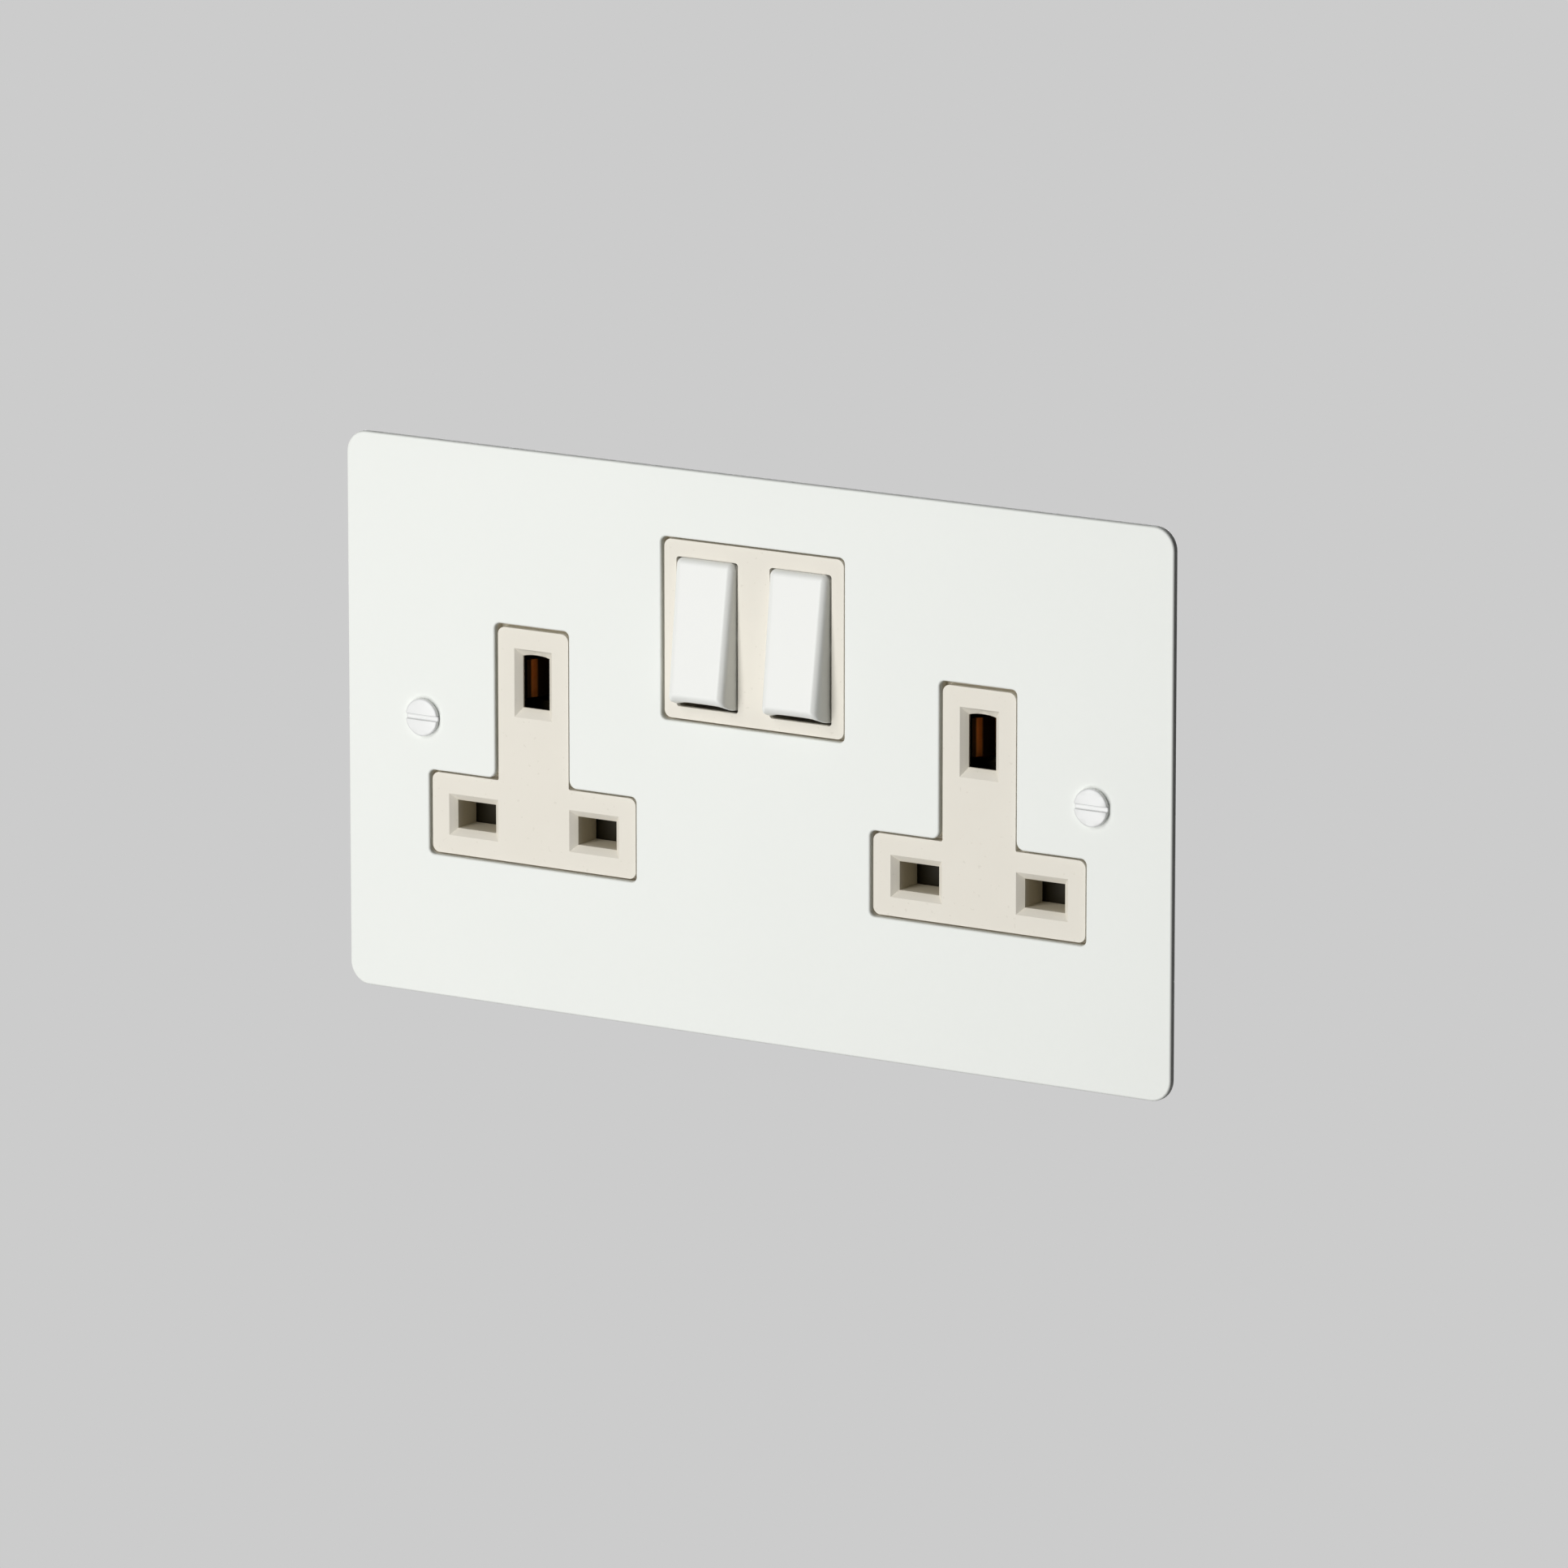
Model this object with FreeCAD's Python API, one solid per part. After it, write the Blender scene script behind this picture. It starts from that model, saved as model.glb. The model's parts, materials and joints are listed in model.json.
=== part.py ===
import FreeCAD, Part
import math
import os

# A twin switched wall socket, in millimetres. X runs to the right seen from the front, Z runs up,
# and Y runs back into the wall. The origin is the centre of the plate's back face.

# Front plate
PLATE_W = 148.5
PLATE_H = 88.0
PLATE_T = 1.0
PLATE_CORNER_R = 3.5
PLATE_EDGE_R = 0.35

# Cut-outs in the plate, and the moulding that stands in them
CUTOUT_GAP = 0.45
CUTOUT_CORNER_R = 1.7
CUTOUT_INNER_R = 1.3
CUTOUT_EDGE_R = 0.3
INSERT_CORNER_R = 2.0
INSERT_INNER_R = 0.3
INSERT_RECESS = 0.5
GROOVE_D = 1.2

# Pin positions of the outlets
OUTLET_INSET = 20.8
PIN_ROW_Z = -15.0
PIN_SPREAD = 11.11
EARTH_RISE = 22.23

# T-shaped cut-out round each outlet, measured from the pins
T_BAR_W = 38.2
T_BAR_BELOW = 6.6
T_BAR_ABOVE = 6.8
T_STEM_W = 13.65
T_STEM_ABOVE = 9.17

# Pin apertures
FLAT_PIN_HOLE_W = 7.04
FLAT_PIN_HOLE_H = 4.5
EARTH_HOLE_W = 4.82
EARTH_HOLE_H = 8.75
LEAD_IN_W = 1.05
LEAD_IN_DEPTH = 0.95
THROAT_DEPTH = 6.0
THROAT_WALL = 1.2
EARTH_ARCH = 0.6
EARTH_LAND = 0.3
EARTH_RELIEF = 1.2

# Switch window and rockers
WINDOW_W = 33.0
WINDOW_H = 28.6
WINDOW_Z = 19.0
ROCKER_X = 8.4
ROCKER_Z = 18.85
ROCKER_HOLE_W = 11.1
ROCKER_HOLE_H = 23.4
ROCKER_HOLE_DROP = 0.2
ROCKER_HOLE_R = 0.5
ROCKER_LIP = 0.7
ROCKER_RELIEF = 0.8
ROCKER_GAP = 0.25
ROCKER_END_GAP = 0.7
ROCKER_EDGE_R = 1.1
ROCKER_WALL = 1.4
ROCKER_FACE_T = 1.6
ROCKER_PROUD = 2.4
ROCKER_TILT = 14.0
PIVOT_DEPTH = 1.5
SKIRT_DEPTH = 2.2
TRUNNION_R = 1.1
TRUNNION_L = 1.0
WELL_WALL = 0.9
WELL_DEPTH = 3.8

# Plunger in each rocker
PLUNGER_R = 1.5
PLUNGER_HEAD = 1.4
PLUNGER_REACH = 9.0
PLUNGER_TUBE_WALL = 1.1
PLUNGER_TUBE_END = 3.5
PLUNGER_SPRING_L = 3.7
PLUNGER_SPRING_WIRE = 0.4
PLUNGER_SPRING_TURNS = 4
PLUNGER_TIP_GAP = 0.1

# See-saw contact blade behind each rocker
BLADE_T = 0.8
BLADE_W = 5.0
BLADE_HALF = 10.0
BLADE_SWING = 17.0
BLADE_PIN_R = 0.6
BUTTON_R = 1.3
BUTTON_H = 0.6
BUTTON_GAP = 0.1
CRADLE_T = 0.8
CRADLE_HALF = 2.5
CRADLE_GAP = 0.4
CRADLE_LIP = 0.9

# Running clearances
RUN_GAP = 0.05
SLIDE_GAP = 0.25

# Body behind the plate
BODY_HALF_W = 61.0
BODY_BOTTOM = -31.0
BODY_TOP = 34.0
BODY_DEPTH = 21.5
BODY_CORNER_R = 3.0
BODY_REAR_R = 0.8
NOTCH_X = 53.5
NOTCH_HALF = 8.0
NOTCH_R = 1.5
NOTCH_FLAT = 0.1
REAR_ROUND_SHARE = 0.8
FLANGE_T = 2.2
WALL_T = 1.8
FLOOR_T = 2.0
RIB_T = 1.2
PANEL_W = 46.0
PANEL_H = 16.0
PANEL_Z = 14.0
PANEL_R = 1.5
PANEL_D = 0.4

# Fixing screws at the pitch of a twin wall box
FIX_PITCH = 120.6
FIX_SHANK_R = 1.75
FIX_HEAD_R = 2.95
FIX_SHANK_L = 18.0
FIX_TIP = 0.6
FIX_RIM = 0.6
FIX_DOME = 0.15
FIX_SLOT_W = 0.82
FIX_SLOT_D = 0.55
FIX_SEAT_GAP = 0.15
DIMPLE_R = 4.3
DIMPLE_FLOOR_R = 3.6
DIMPLE_D = 0.2

# Screws that hold the body to threaded bushes on the plate
BODY_SCREW_INSET = 4.4
BODY_SCREW_R = 1.5
BODY_SCREW_HEAD_R = 2.8
BODY_SCREW_HEAD_H = 1.8
BODY_SCREW_HEAD_EDGE = 0.6
BODY_SCREW_GAP = 0.15
BODY_BOSS_R = 3.2
BUSH_R = 2.6
BUSH_GAP = 0.15
BUSH_L = 2.0
SCREW_TIP_ROOM = 0.3
DRIVE_SLOT_W = 0.8
DRIVE_SLOT_D = 0.9

# Shutter behind each outlet
SHUTTER_T = 1.6
SHUTTER_GAP = 0.3
SHUTTER_HALF_W = 15.3
SHUTTER_ABOVE = 3.0
SHUTTER_BELOW = 3.2
FLAP_R = 2.0
SHUTTER_TRAVEL = 5.6
SHUTTER_STEM_HALF = 4.5
TONGUE_HALF = 1.5
TONGUE_T = 1.0
TONGUE_ROOT = 5.0
STEM_EARTH_GAP = 0.9
GUIDE_T = 1.2
GUIDE_BELOW = 7.0
GUIDE_LIP_T = 1.15
GUIDE_LIP_REACH = 1.3
STOP_W = 3.0
STOP_H = 1.4
STOP_GAP = 0.15
SHUTTER_SPRING_L = 9.0
SHUTTER_SPRING_R = 1.9
SHUTTER_SPRING_WIRE = 0.5
SHUTTER_SPRING_TURNS = 5
SPRING_END_GAP = 0.05
SEAT_T = 1.6
SEAT_HALF_W = 4.0
PEG_R = 1.2
PEG_L = 2.0

# Spring-brass contacts and rails
STRIP_T = 0.8
CLIP_W = 6.0
CLIP_GRIP = 1.9
CLIP_LIP = 2.6
CLIP_ROOT = 2.8
CLIP_LIP_L = 2.2
CLIP_LIP_GAP = 0.4
EARTH_LIP = 3.2
EARTH_LIP_L = 2.6
EARTH_LIP_DEPTH = 3.5
EARTH_RAIL_LIFT = 3.2
EARTH_RAIL_LOW = 6.2
EARTH_RAIL_W = 4.0
EARTH_TAIL_HALF = 4.0
EARTH_JOGGLE_Z = -6.0
EARTH_TONGUE_X = 26.0
EARTH_TONGUE_W = 4.0
LINK_W = 4.5
LINK_X = 21.75
LINK_CROSS_Z = -5.75
NOTCH_CLEAR = 0.5
TAB_H = 4.4
NEUTRAL_RAIL_Z = -25.75
LIVE_RAIL_W = 5.0
LIVE_RAIL_MARGIN = 0.3

# Terminals along the bottom
TERMINAL_PITCH = 14.0
TERMINAL_Z = -15.5
TERMINAL_HALF_W = 4.2
TERMINAL_LEN = 9.0
TERMINAL_BORE = 5.2
TERMINAL_FRONT_WALL = 1.0
TERMINAL_BACK_WALL = 1.8
ENTRY_SIZE = 6.0
TERMINAL_SCREW_R = 1.75
TERMINAL_SCREW_HEAD_R = 2.7
TERMINAL_HOLE_R = 3.0
COLLAR_WALL = 1.2
COLLAR_H = 0.8
TERMINAL_SCREW_TIP = 0.3

# Depths that follow from the sizes above
INSERT_Y = INSERT_RECESS - PLATE_T
NECK_Y = INSERT_Y + LEAD_IN_DEPTH
THROAT_END = INSERT_Y + THROAT_DEPTH
SHUTTER_FRONT = THROAT_END + SHUTTER_GAP
SHUTTER_BACK = SHUTTER_FRONT + SHUTTER_T
LIP_FRONT = SHUTTER_BACK + SLIDE_GAP
LIP_BACK = LIP_FRONT + GUIDE_LIP_T
FLOOR_Y = BODY_DEPTH - FLOOR_T
RAIL_Y = FLOOR_Y - STRIP_T
EARTH_RAIL_Y = RAIL_Y - EARTH_RAIL_LIFT
PIVOT_Y = INSERT_Y + PIVOT_DEPTH
BLADE_Y = PIVOT_Y + PLUNGER_REACH + PLUNGER_TIP_GAP + BLADE_T / 2
WELL_BACK = FLANGE_T + WELL_DEPTH

# Heights and places that follow
EARTH_Z = PIN_ROW_Z + EARTH_RISE
EARTH_RAIL_TOP = EARTH_Z - EARTH_RAIL_LOW + EARTH_RAIL_W
ROCKER_HOLE_Z = ROCKER_Z - ROCKER_HOLE_DROP
FIX_X = FIX_PITCH / 2
SOCKET_X = BODY_HALF_W - OUTLET_INSET
BODY_SCREW_X = BODY_HALF_W - BODY_SCREW_INSET
BODY_SCREW_ZS = (BODY_BOTTOM + BODY_SCREW_INSET, BODY_TOP - BODY_SCREW_INSET)
FLAP_LOW = PIN_ROW_Z - SHUTTER_BELOW
FLAP_HIGH = PIN_ROW_Z + SHUTTER_ABOVE
SPRING_SEAT_Z = FLAP_LOW - SHUTTER_SPRING_L
TERMINAL_BACK = RAIL_Y
TERMINAL_FRONT = TERMINAL_BACK - TERMINAL_BACK_WALL - TERMINAL_BORE - TERMINAL_FRONT_WALL
BORE_Y = TERMINAL_FRONT + TERMINAL_FRONT_WALL + TERMINAL_BORE / 2
SIDES = (("left", -1), ("right", 1))
TINY = 1e-6

V = FreeCAD.Vector
ACROSS = V(1, 0, 0)
INWARD = V(0, 1, 0)
UP = V(0, 0, 1)


def outline(corners, y):
    """Closed wire at depth y through (x, z, radius) corners, each rounded to its radius."""
    rounds = []
    for i, (x, z, radius) in enumerate(corners):
        here = V(x, y, z)
        before = V(corners[i - 1][0], y, corners[i - 1][1]) - here
        following = corners[(i + 1) % len(corners)]
        after = V(following[0], y, following[1]) - here
        half_angle = before.getAngle(after) / 2
        before.normalize()
        after.normalize()
        reach = radius / math.tan(half_angle)
        bisector = (before + after).normalize()
        middle = here + bisector * (radius / math.sin(half_angle) - radius)
        rounds.append((here + before * reach, middle, here + after * reach))
    edges = []
    for i, (start, middle, stop) in enumerate(rounds):
        if start.distanceToPoint(stop) > TINY:
            edges.append(Part.Arc(start, middle, stop).toShape())
        edges.append(Part.LineSegment(stop, rounds[(i + 1) % len(rounds)][0]).toShape())
    return Part.Wire(edges)


def prism(corners, y0, y1):
    """Solid of a rounded outline, from depth y0 back to y1."""
    return Part.Face(outline(corners, y0)).extrude(INWARD * (y1 - y0))


def block(x0, x1, y0, y1, z0, z1):
    """Box between two corners."""
    return Part.makeBox(x1 - x0, y1 - y0, z1 - z0, V(x0, y0, z0))


def rod(radius, x, z, y0, y1):
    """Round bar along the depth."""
    return Part.makeCylinder(radius, y1 - y0, V(x, y0, z), INWARD)


def profile_solid(points, width, direction):
    """Flat polygon pulled along a direction, centred on the polygon's plane."""
    shift = direction * (-width / 2)
    wire = Part.makePolygon([p + shift for p in points + points[:1]])
    return Part.Face(wire).extrude(direction * width)


def rect(x, z, width, height, radius=0.0):
    """Corners of a rounded rectangle."""
    half_w = width / 2
    half_h = height / 2
    signs = ((-1, -1), (1, -1), (1, 1), (-1, 1))
    return [(x + sx * half_w, z + sz * half_h, radius) for sx, sz in signs]


def folded(path, thickness):
    """Corner points of a bent strip whose middle line follows path, with square ends."""
    steps = []
    for (a0, b0), (a1, b1) in zip(path, path[1:]):
        length = math.hypot(a1 - a0, b1 - b0)
        steps.append((-(b1 - b0) / length, (a1 - a0) / length))
    normals = [steps[0]]
    for (m0, n0), (m1, n1) in zip(steps, steps[1:]):
        share = 1 + m0 * m1 + n0 * n1
        normals.append(((m0 + m1) / share, (n0 + n1) / share))
    normals.append(steps[-1])
    half = thickness / 2
    one_side = [(a + m * half, b + n * half) for (a, b), (m, n) in zip(path, normals)]
    other_side = [(a - m * half, b - n * half) for (a, b), (m, n) in zip(path, normals)]
    return one_side + other_side[::-1]


def coil(radius, wire, turns, length):
    """Square-wire spring along Z from the origin, its ends inside the given length."""
    rise = length - wire
    helix = Part.makeHelix(rise / turns, rise, radius)
    half = wire / 2
    section = [V(radius + sx * half, 0, sz * half) for sx, sz in ((-1, -1), (1, -1), (1, 1), (-1, 1))]
    spring = Part.Wire(helix.Edges).makePipeShell([Part.makePolygon(section + section[:1])], True, True)
    spring.translate(UP * half)
    return spring


def tee(x, gap, outer_r, inner_r):
    """Corners of the T-shaped outline round an outlet, drawn in by a gap."""
    bar = T_BAR_W / 2 - gap
    stem = T_STEM_W / 2 - gap
    low = PIN_ROW_Z - T_BAR_BELOW + gap
    shoulder = PIN_ROW_Z + T_BAR_ABOVE - gap
    top = EARTH_Z + T_STEM_ABOVE - gap
    right = [(bar, low, outer_r), (bar, shoulder, outer_r), (stem, shoulder, inner_r), (stem, top, outer_r)]
    left = [(-a, z, radius) for a, z, radius in reversed(right)]
    return [(x + a, z, radius) for a, z, radius in right + left]


def window(gap, radius):
    """Corners of the switch window, drawn in by a gap."""
    return rect(0, WINDOW_Z, WINDOW_W - 2 * gap, WINDOW_H - 2 * gap, radius)


def groove(outer, inner):
    """Narrow groove in the flange between a cut-out and the boss that stands in it."""
    return prism(outer, 0, GROOVE_D).cut(prism(inner, 0, GROOVE_D))


def notch_radius():
    """Corner radius of the notches, which leaves a flat on each side of a shallow one."""
    return min(NOTCH_R, (BODY_HALF_W - NOTCH_X) / 2 - NOTCH_FLAT)


def body_outline(inset):
    """Corners of the body behind the plate, notched round the fixing screws."""
    side = BODY_HALF_W - inset
    notch = NOTCH_X - inset
    jaw = NOTCH_HALF + inset
    low = BODY_BOTTOM + inset
    high = BODY_TOP - inset
    right = [
        (side, low, BODY_CORNER_R),
        (side, -jaw, notch_radius()),
        (notch, -jaw, notch_radius()),
        (notch, jaw, notch_radius()),
        (side, jaw, notch_radius()),
        (side, high, BODY_CORNER_R),
    ]
    return right + [(-x, z, radius) for x, z, radius in reversed(right)]


def body_screw_places():
    """The four corner screws of the body."""
    return [(side * BODY_SCREW_X, z) for _, side in SIDES for z in BODY_SCREW_ZS]


def flat_pin_places():
    """The neutral and live apertures of both outlets, from left to right."""
    return [side * SOCKET_X + way * PIN_SPREAD for _, side in SIDES for way in (-1, 1)]


def front_plate():
    """Flat pressed plate with its cut-outs and dimpled, countersunk fixing holes."""
    plate = prism(rect(0, 0, PLATE_W, PLATE_H, PLATE_CORNER_R), -PLATE_T, 0)
    rim = [e for e in plate.Edges if e.BoundBox.YMax < TINY - PLATE_T]
    plate = plate.makeFillet(PLATE_EDGE_R, rim)
    cuts = [prism(window(0, CUTOUT_CORNER_R), -PLATE_T, 0)]
    for _, side in SIDES:
        cuts.append(prism(tee(side * SOCKET_X, 0, CUTOUT_CORNER_R, CUTOUT_INNER_R), -PLATE_T, 0))
    plate = plate.cut(cuts)
    inner_w = PLATE_W / 2 - PLATE_CORNER_R
    inner_h = PLATE_H / 2 - PLATE_CORNER_R
    lips = []
    for edge in plate.Edges:
        middle = edge.BoundBox.Center
        inside = abs(middle.x) < inner_w and abs(middle.z) < inner_h
        if inside and edge.BoundBox.YMax < TINY - PLATE_T:
            lips.append(edge)
    plate = plate.makeFillet(CUTOUT_EDGE_R, lips)
    seats = []
    for _, side in SIDES:
        face = V(side * FIX_X, -PLATE_T, 0)
        seats.append(Part.makeCone(DIMPLE_R, DIMPLE_FLOOR_R, DIMPLE_D, face, INWARD))
        seats.append(Part.makeCone(FIX_HEAD_R + FIX_SEAT_GAP, FIX_SHANK_R + FIX_SEAT_GAP, PLATE_T, face, INWARD))
    return plate.cut(seats)


def fixing_screw(x):
    """Raised countersunk screw with a straight slot, its shank starting at the wall plane."""
    cone = Part.makeCone(FIX_HEAD_R, FIX_SHANK_R, PLATE_T, V(x, -PLATE_T, 0), INWARD)
    rim_front = -PLATE_T - FIX_RIM
    rim = rod(FIX_HEAD_R, x, 0, rim_front, -PLATE_T)
    crown = rim_front - FIX_DOME
    dome_r = (FIX_HEAD_R**2 + FIX_DOME**2) / (2 * FIX_DOME)
    ball = Part.makeSphere(dome_r, V(x, crown + dome_r, 0))
    dome = ball.common(rod(FIX_HEAD_R, x, 0, crown, rim_front))
    shank = rod(FIX_SHANK_R, x, 0, 0, FIX_SHANK_L)
    tip = Part.makeCone(FIX_SHANK_R, FIX_SHANK_R - FIX_TIP, FIX_TIP, V(x, FIX_SHANK_L, 0), INWARD)
    screw = cone.multiFuse([rim, dome, shank, tip])
    half = FIX_SLOT_W / 2
    slot = block(x - FIX_HEAD_R, x + FIX_HEAD_R, crown, crown + FIX_SLOT_D, -half, half)
    return screw.cut(slot).removeSplitter()


def lead_in(x, z, width, height, neck):
    """Sloped mouth of an aperture, from the moulding's face to the neck."""
    mouth = outline(rect(x, z, width + 2 * LEAD_IN_W, height + 2 * LEAD_IN_W), INSERT_Y)
    return Part.makeLoft([mouth, neck], True, True)


def flat_pin_hole(x):
    """Aperture for a flat pin, open to the end of its throat."""
    corners = rect(x, PIN_ROW_Z, FLAT_PIN_HOLE_W, FLAT_PIN_HOLE_H)
    slope = lead_in(x, PIN_ROW_Z, FLAT_PIN_HOLE_W, FLAT_PIN_HOLE_H, outline(corners, NECK_Y))
    return slope.fuse(prism(corners, NECK_Y, THROAT_END))


def earth_pin_hole(x):
    """Aperture for an earth pin: arched neck, and a wider pocket behind it."""
    half = EARTH_HOLE_W / 2
    low = EARTH_Z - EARTH_HOLE_H / 2
    high = EARTH_Z + EARTH_HOLE_H / 2
    left_top = V(x - half, NECK_Y, high)
    right_top = V(x + half, NECK_Y, high)
    sides = Part.makePolygon([right_top, V(x + half, NECK_Y, low), V(x - half, NECK_Y, low), left_top])
    arch = Part.Arc(left_top, V(x, NECK_Y, high + EARTH_ARCH), right_top).toShape()
    neck = Part.Wire(sides.Edges + [arch])
    land = Part.Face(neck).extrude(INWARD * EARTH_LAND)
    slope = lead_in(x, EARTH_Z, EARTH_HOLE_W, EARTH_HOLE_H, neck)
    pocket_w = EARTH_HOLE_W + 2 * EARTH_RELIEF
    pocket_h = EARTH_HOLE_H + 2 * EARTH_RELIEF
    pocket = prism(rect(x, EARTH_Z, pocket_w, pocket_h, EARTH_RELIEF), NECK_Y + EARTH_LAND, FLANGE_T)
    return slope.multiFuse([land, pocket])


def shutter_guides(x):
    """Ribs behind an outlet: end guides with hooked lips, top stops and the spring seat."""
    pieces = []
    for _, way in SIDES:
        inner = SHUTTER_HALF_W + SLIDE_GAP
        low = PIN_ROW_Z - GUIDE_BELOW
        xs = sorted((x + way * inner, x + way * (inner + GUIDE_T)))
        pieces.append(block(*xs, FLANGE_T, LIP_BACK, low, FLAP_HIGH))
        xs = sorted((x + way * (inner - GUIDE_LIP_REACH), x + way * (inner + GUIDE_T)))
        pieces.append(block(*xs, LIP_FRONT, LIP_BACK, low, FLAP_HIGH))
        stop = SHUTTER_STEM_HALF + SLIDE_GAP
        xs = sorted((x + way * stop, x + way * (stop + STOP_W)))
        base = FLAP_HIGH + STOP_GAP
        pieces.append(block(*xs, FLANGE_T, SHUTTER_BACK, base, base + STOP_H))
    seat_back = (SHUTTER_FRONT + SHUTTER_BACK) / 2 + SHUTTER_SPRING_R + SHUTTER_SPRING_WIRE
    seat_low = SPRING_SEAT_Z - SEAT_T
    pieces.append(block(x - SEAT_HALF_W, x + SEAT_HALF_W, FLANGE_T, seat_back, seat_low, SPRING_SEAT_Z))
    return pieces


def front_moulding():
    """Cream moulding: flange, T-shaped bosses, throats, shutter guides and rocker wells."""
    boss = window(CUTOUT_GAP, INSERT_CORNER_R)
    solids = [prism(boss, INSERT_Y, 0)]
    holes = [groove(window(0, CUTOUT_CORNER_R), boss)]
    pocket_h = ROCKER_HOLE_H + 2 * ROCKER_RELIEF
    lip_back = INSERT_Y + ROCKER_LIP
    well_w = 2 * ROCKER_X + ROCKER_HOLE_W + 2 * WELL_WALL
    well_h = pocket_h + 2 * WELL_WALL
    solids.append(prism(rect(0, ROCKER_HOLE_Z, well_w, well_h, ROCKER_HOLE_R), FLANGE_T, WELL_BACK))
    throat_w = FLAT_PIN_HOLE_W + 2 * THROAT_WALL
    throat_h = FLAT_PIN_HOLE_H + 2 * THROAT_WALL
    for _, side in SIDES:
        x = side * SOCKET_X
        boss = tee(x, CUTOUT_GAP, INSERT_CORNER_R, INSERT_INNER_R)
        solids.append(prism(boss, INSERT_Y, 0))
        holes.append(groove(tee(x, 0, CUTOUT_CORNER_R, CUTOUT_INNER_R), boss))
        solids.extend(shutter_guides(x))
        holes.append(earth_pin_hole(x))
        rocker_x = side * ROCKER_X
        opening = rect(rocker_x, ROCKER_HOLE_Z, ROCKER_HOLE_W, ROCKER_HOLE_H, ROCKER_HOLE_R)
        holes.append(prism(opening, INSERT_Y, lip_back))
        pocket = rect(rocker_x, ROCKER_HOLE_Z, ROCKER_HOLE_W, pocket_h, ROCKER_HOLE_R)
        holes.append(prism(pocket, lip_back, WELL_BACK))
        reach = ROCKER_HOLE_W / 2 + TRUNNION_L
        start = V(rocker_x - reach, PIVOT_Y, ROCKER_Z)
        holes.append(Part.makeCylinder(TRUNNION_R + RUN_GAP, 2 * reach, start, ACROSS))
    for x in flat_pin_places():
        solids.append(prism(rect(x, PIN_ROW_Z, throat_w, throat_h), FLANGE_T, THROAT_END))
        holes.append(flat_pin_hole(x))
    for x, z in body_screw_places():
        holes.append(rod(BUSH_R + BUSH_GAP, x, z, 0, FLANGE_T))
    slot_w = EARTH_TONGUE_W + 2 * SLIDE_GAP
    slot_h = STRIP_T + 2 * SLIDE_GAP
    slot = rect(EARTH_TONGUE_X, EARTH_RAIL_TOP - STRIP_T / 2, slot_w, slot_h)
    holes.append(prism(slot, 0, FLANGE_T))
    flange = prism(body_outline(0), 0, FLANGE_T)
    return flange.multiFuse(solids).cut(holes).removeSplitter()


def rear_housing():
    """Tray that closes the body: screw bosses, terminal walls, cable entries, rail posts, bare panel."""
    tray = prism(body_outline(0), FLANGE_T, BODY_DEPTH)
    rear = [e for e in tray.Edges if e.BoundBox.YMin > BODY_DEPTH - TINY]
    tray = tray.makeFillet(min(BODY_REAR_R, REAR_ROUND_SHARE * notch_radius()), rear)
    tray = tray.cut(prism(body_outline(WALL_T), FLANGE_T, FLOOR_Y))
    solids = []
    holes = [prism(rect(0, PANEL_Z, PANEL_W, PANEL_H, PANEL_R), BODY_DEPTH - PANEL_D, BODY_DEPTH)]
    for x, z in body_screw_places():
        solids.append(rod(BODY_BOSS_R, x, z, FLANGE_T, FLOOR_Y))
        holes.append(rod(BODY_SCREW_R + BODY_SCREW_GAP, x, z, FLANGE_T, BODY_DEPTH))
    low = BODY_BOTTOM + WALL_T
    slot_half = LINK_W / 2 + SLIDE_GAP
    slot_z = (NEUTRAL_RAIL_Z - slot_half, NEUTRAL_RAIL_Z + slot_half)
    rail_slot = block(-NOTCH_X, NOTCH_X, RAIL_Y - SLIDE_GAP, FLOOR_Y, *slot_z)
    for _, side in SIDES:
        middle = side * TERMINAL_PITCH / 2
        top = TERMINAL_Z + TERMINAL_LEN / 2
        rib = block(middle - RIB_T / 2, middle + RIB_T / 2, TERMINAL_FRONT, FLOOR_Y, low, top)
        solids.append(rib.cut(rail_slot))
        post = side * SOCKET_X
        half = CLIP_W / 2
        post_front = EARTH_RAIL_Y + STRIP_T
        solids.append(block(post - half, post + half, post_front, FLOOR_Y, EARTH_Z - half, EARTH_Z + half))
    for step in (-1, 0, 1):
        x = step * TERMINAL_PITCH
        half = ENTRY_SIZE / 2
        collar_back = BODY_DEPTH + COLLAR_H
        solids.append(rod(TERMINAL_HOLE_R + COLLAR_WALL, x, TERMINAL_Z, FLOOR_Y, collar_back))
        holes.append(rod(TERMINAL_HOLE_R, x, TERMINAL_Z, FLOOR_Y, collar_back))
        holes.append(block(x - half, x + half, BORE_Y - half, BORE_Y + half, BODY_BOTTOM, low))
    return tray.multiFuse(solids).cut(holes).removeSplitter()


def slotted(screw, radius, x, z, top):
    """Straight driver slot across a screw head whose top faces the rear."""
    half = DRIVE_SLOT_W / 2
    return screw.cut(block(x - radius, x + radius, top - DRIVE_SLOT_D, top, z - half, z + half))


def body_screw(x, z):
    """Pan-head screw from the rear of the housing to the bush on the plate."""
    top = BODY_DEPTH + BODY_SCREW_HEAD_H
    head = rod(BODY_SCREW_HEAD_R, x, z, BODY_DEPTH, top)
    head = head.makeFillet(BODY_SCREW_HEAD_EDGE, [e for e in head.Edges if e.BoundBox.YMin > top - TINY])
    screw = head.fuse(rod(BODY_SCREW_R, x, z, SCREW_TIP_ROOM, BODY_DEPTH))
    return slotted(screw, BODY_SCREW_HEAD_R, x, z, top)


def plate_bush(x, z):
    """Threaded bush on the back of the plate."""
    return rod(BUSH_R, x, z, 0, BUSH_L).cut(rod(BODY_SCREW_R + RUN_GAP, x, z, 0, BUSH_L))


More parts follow.
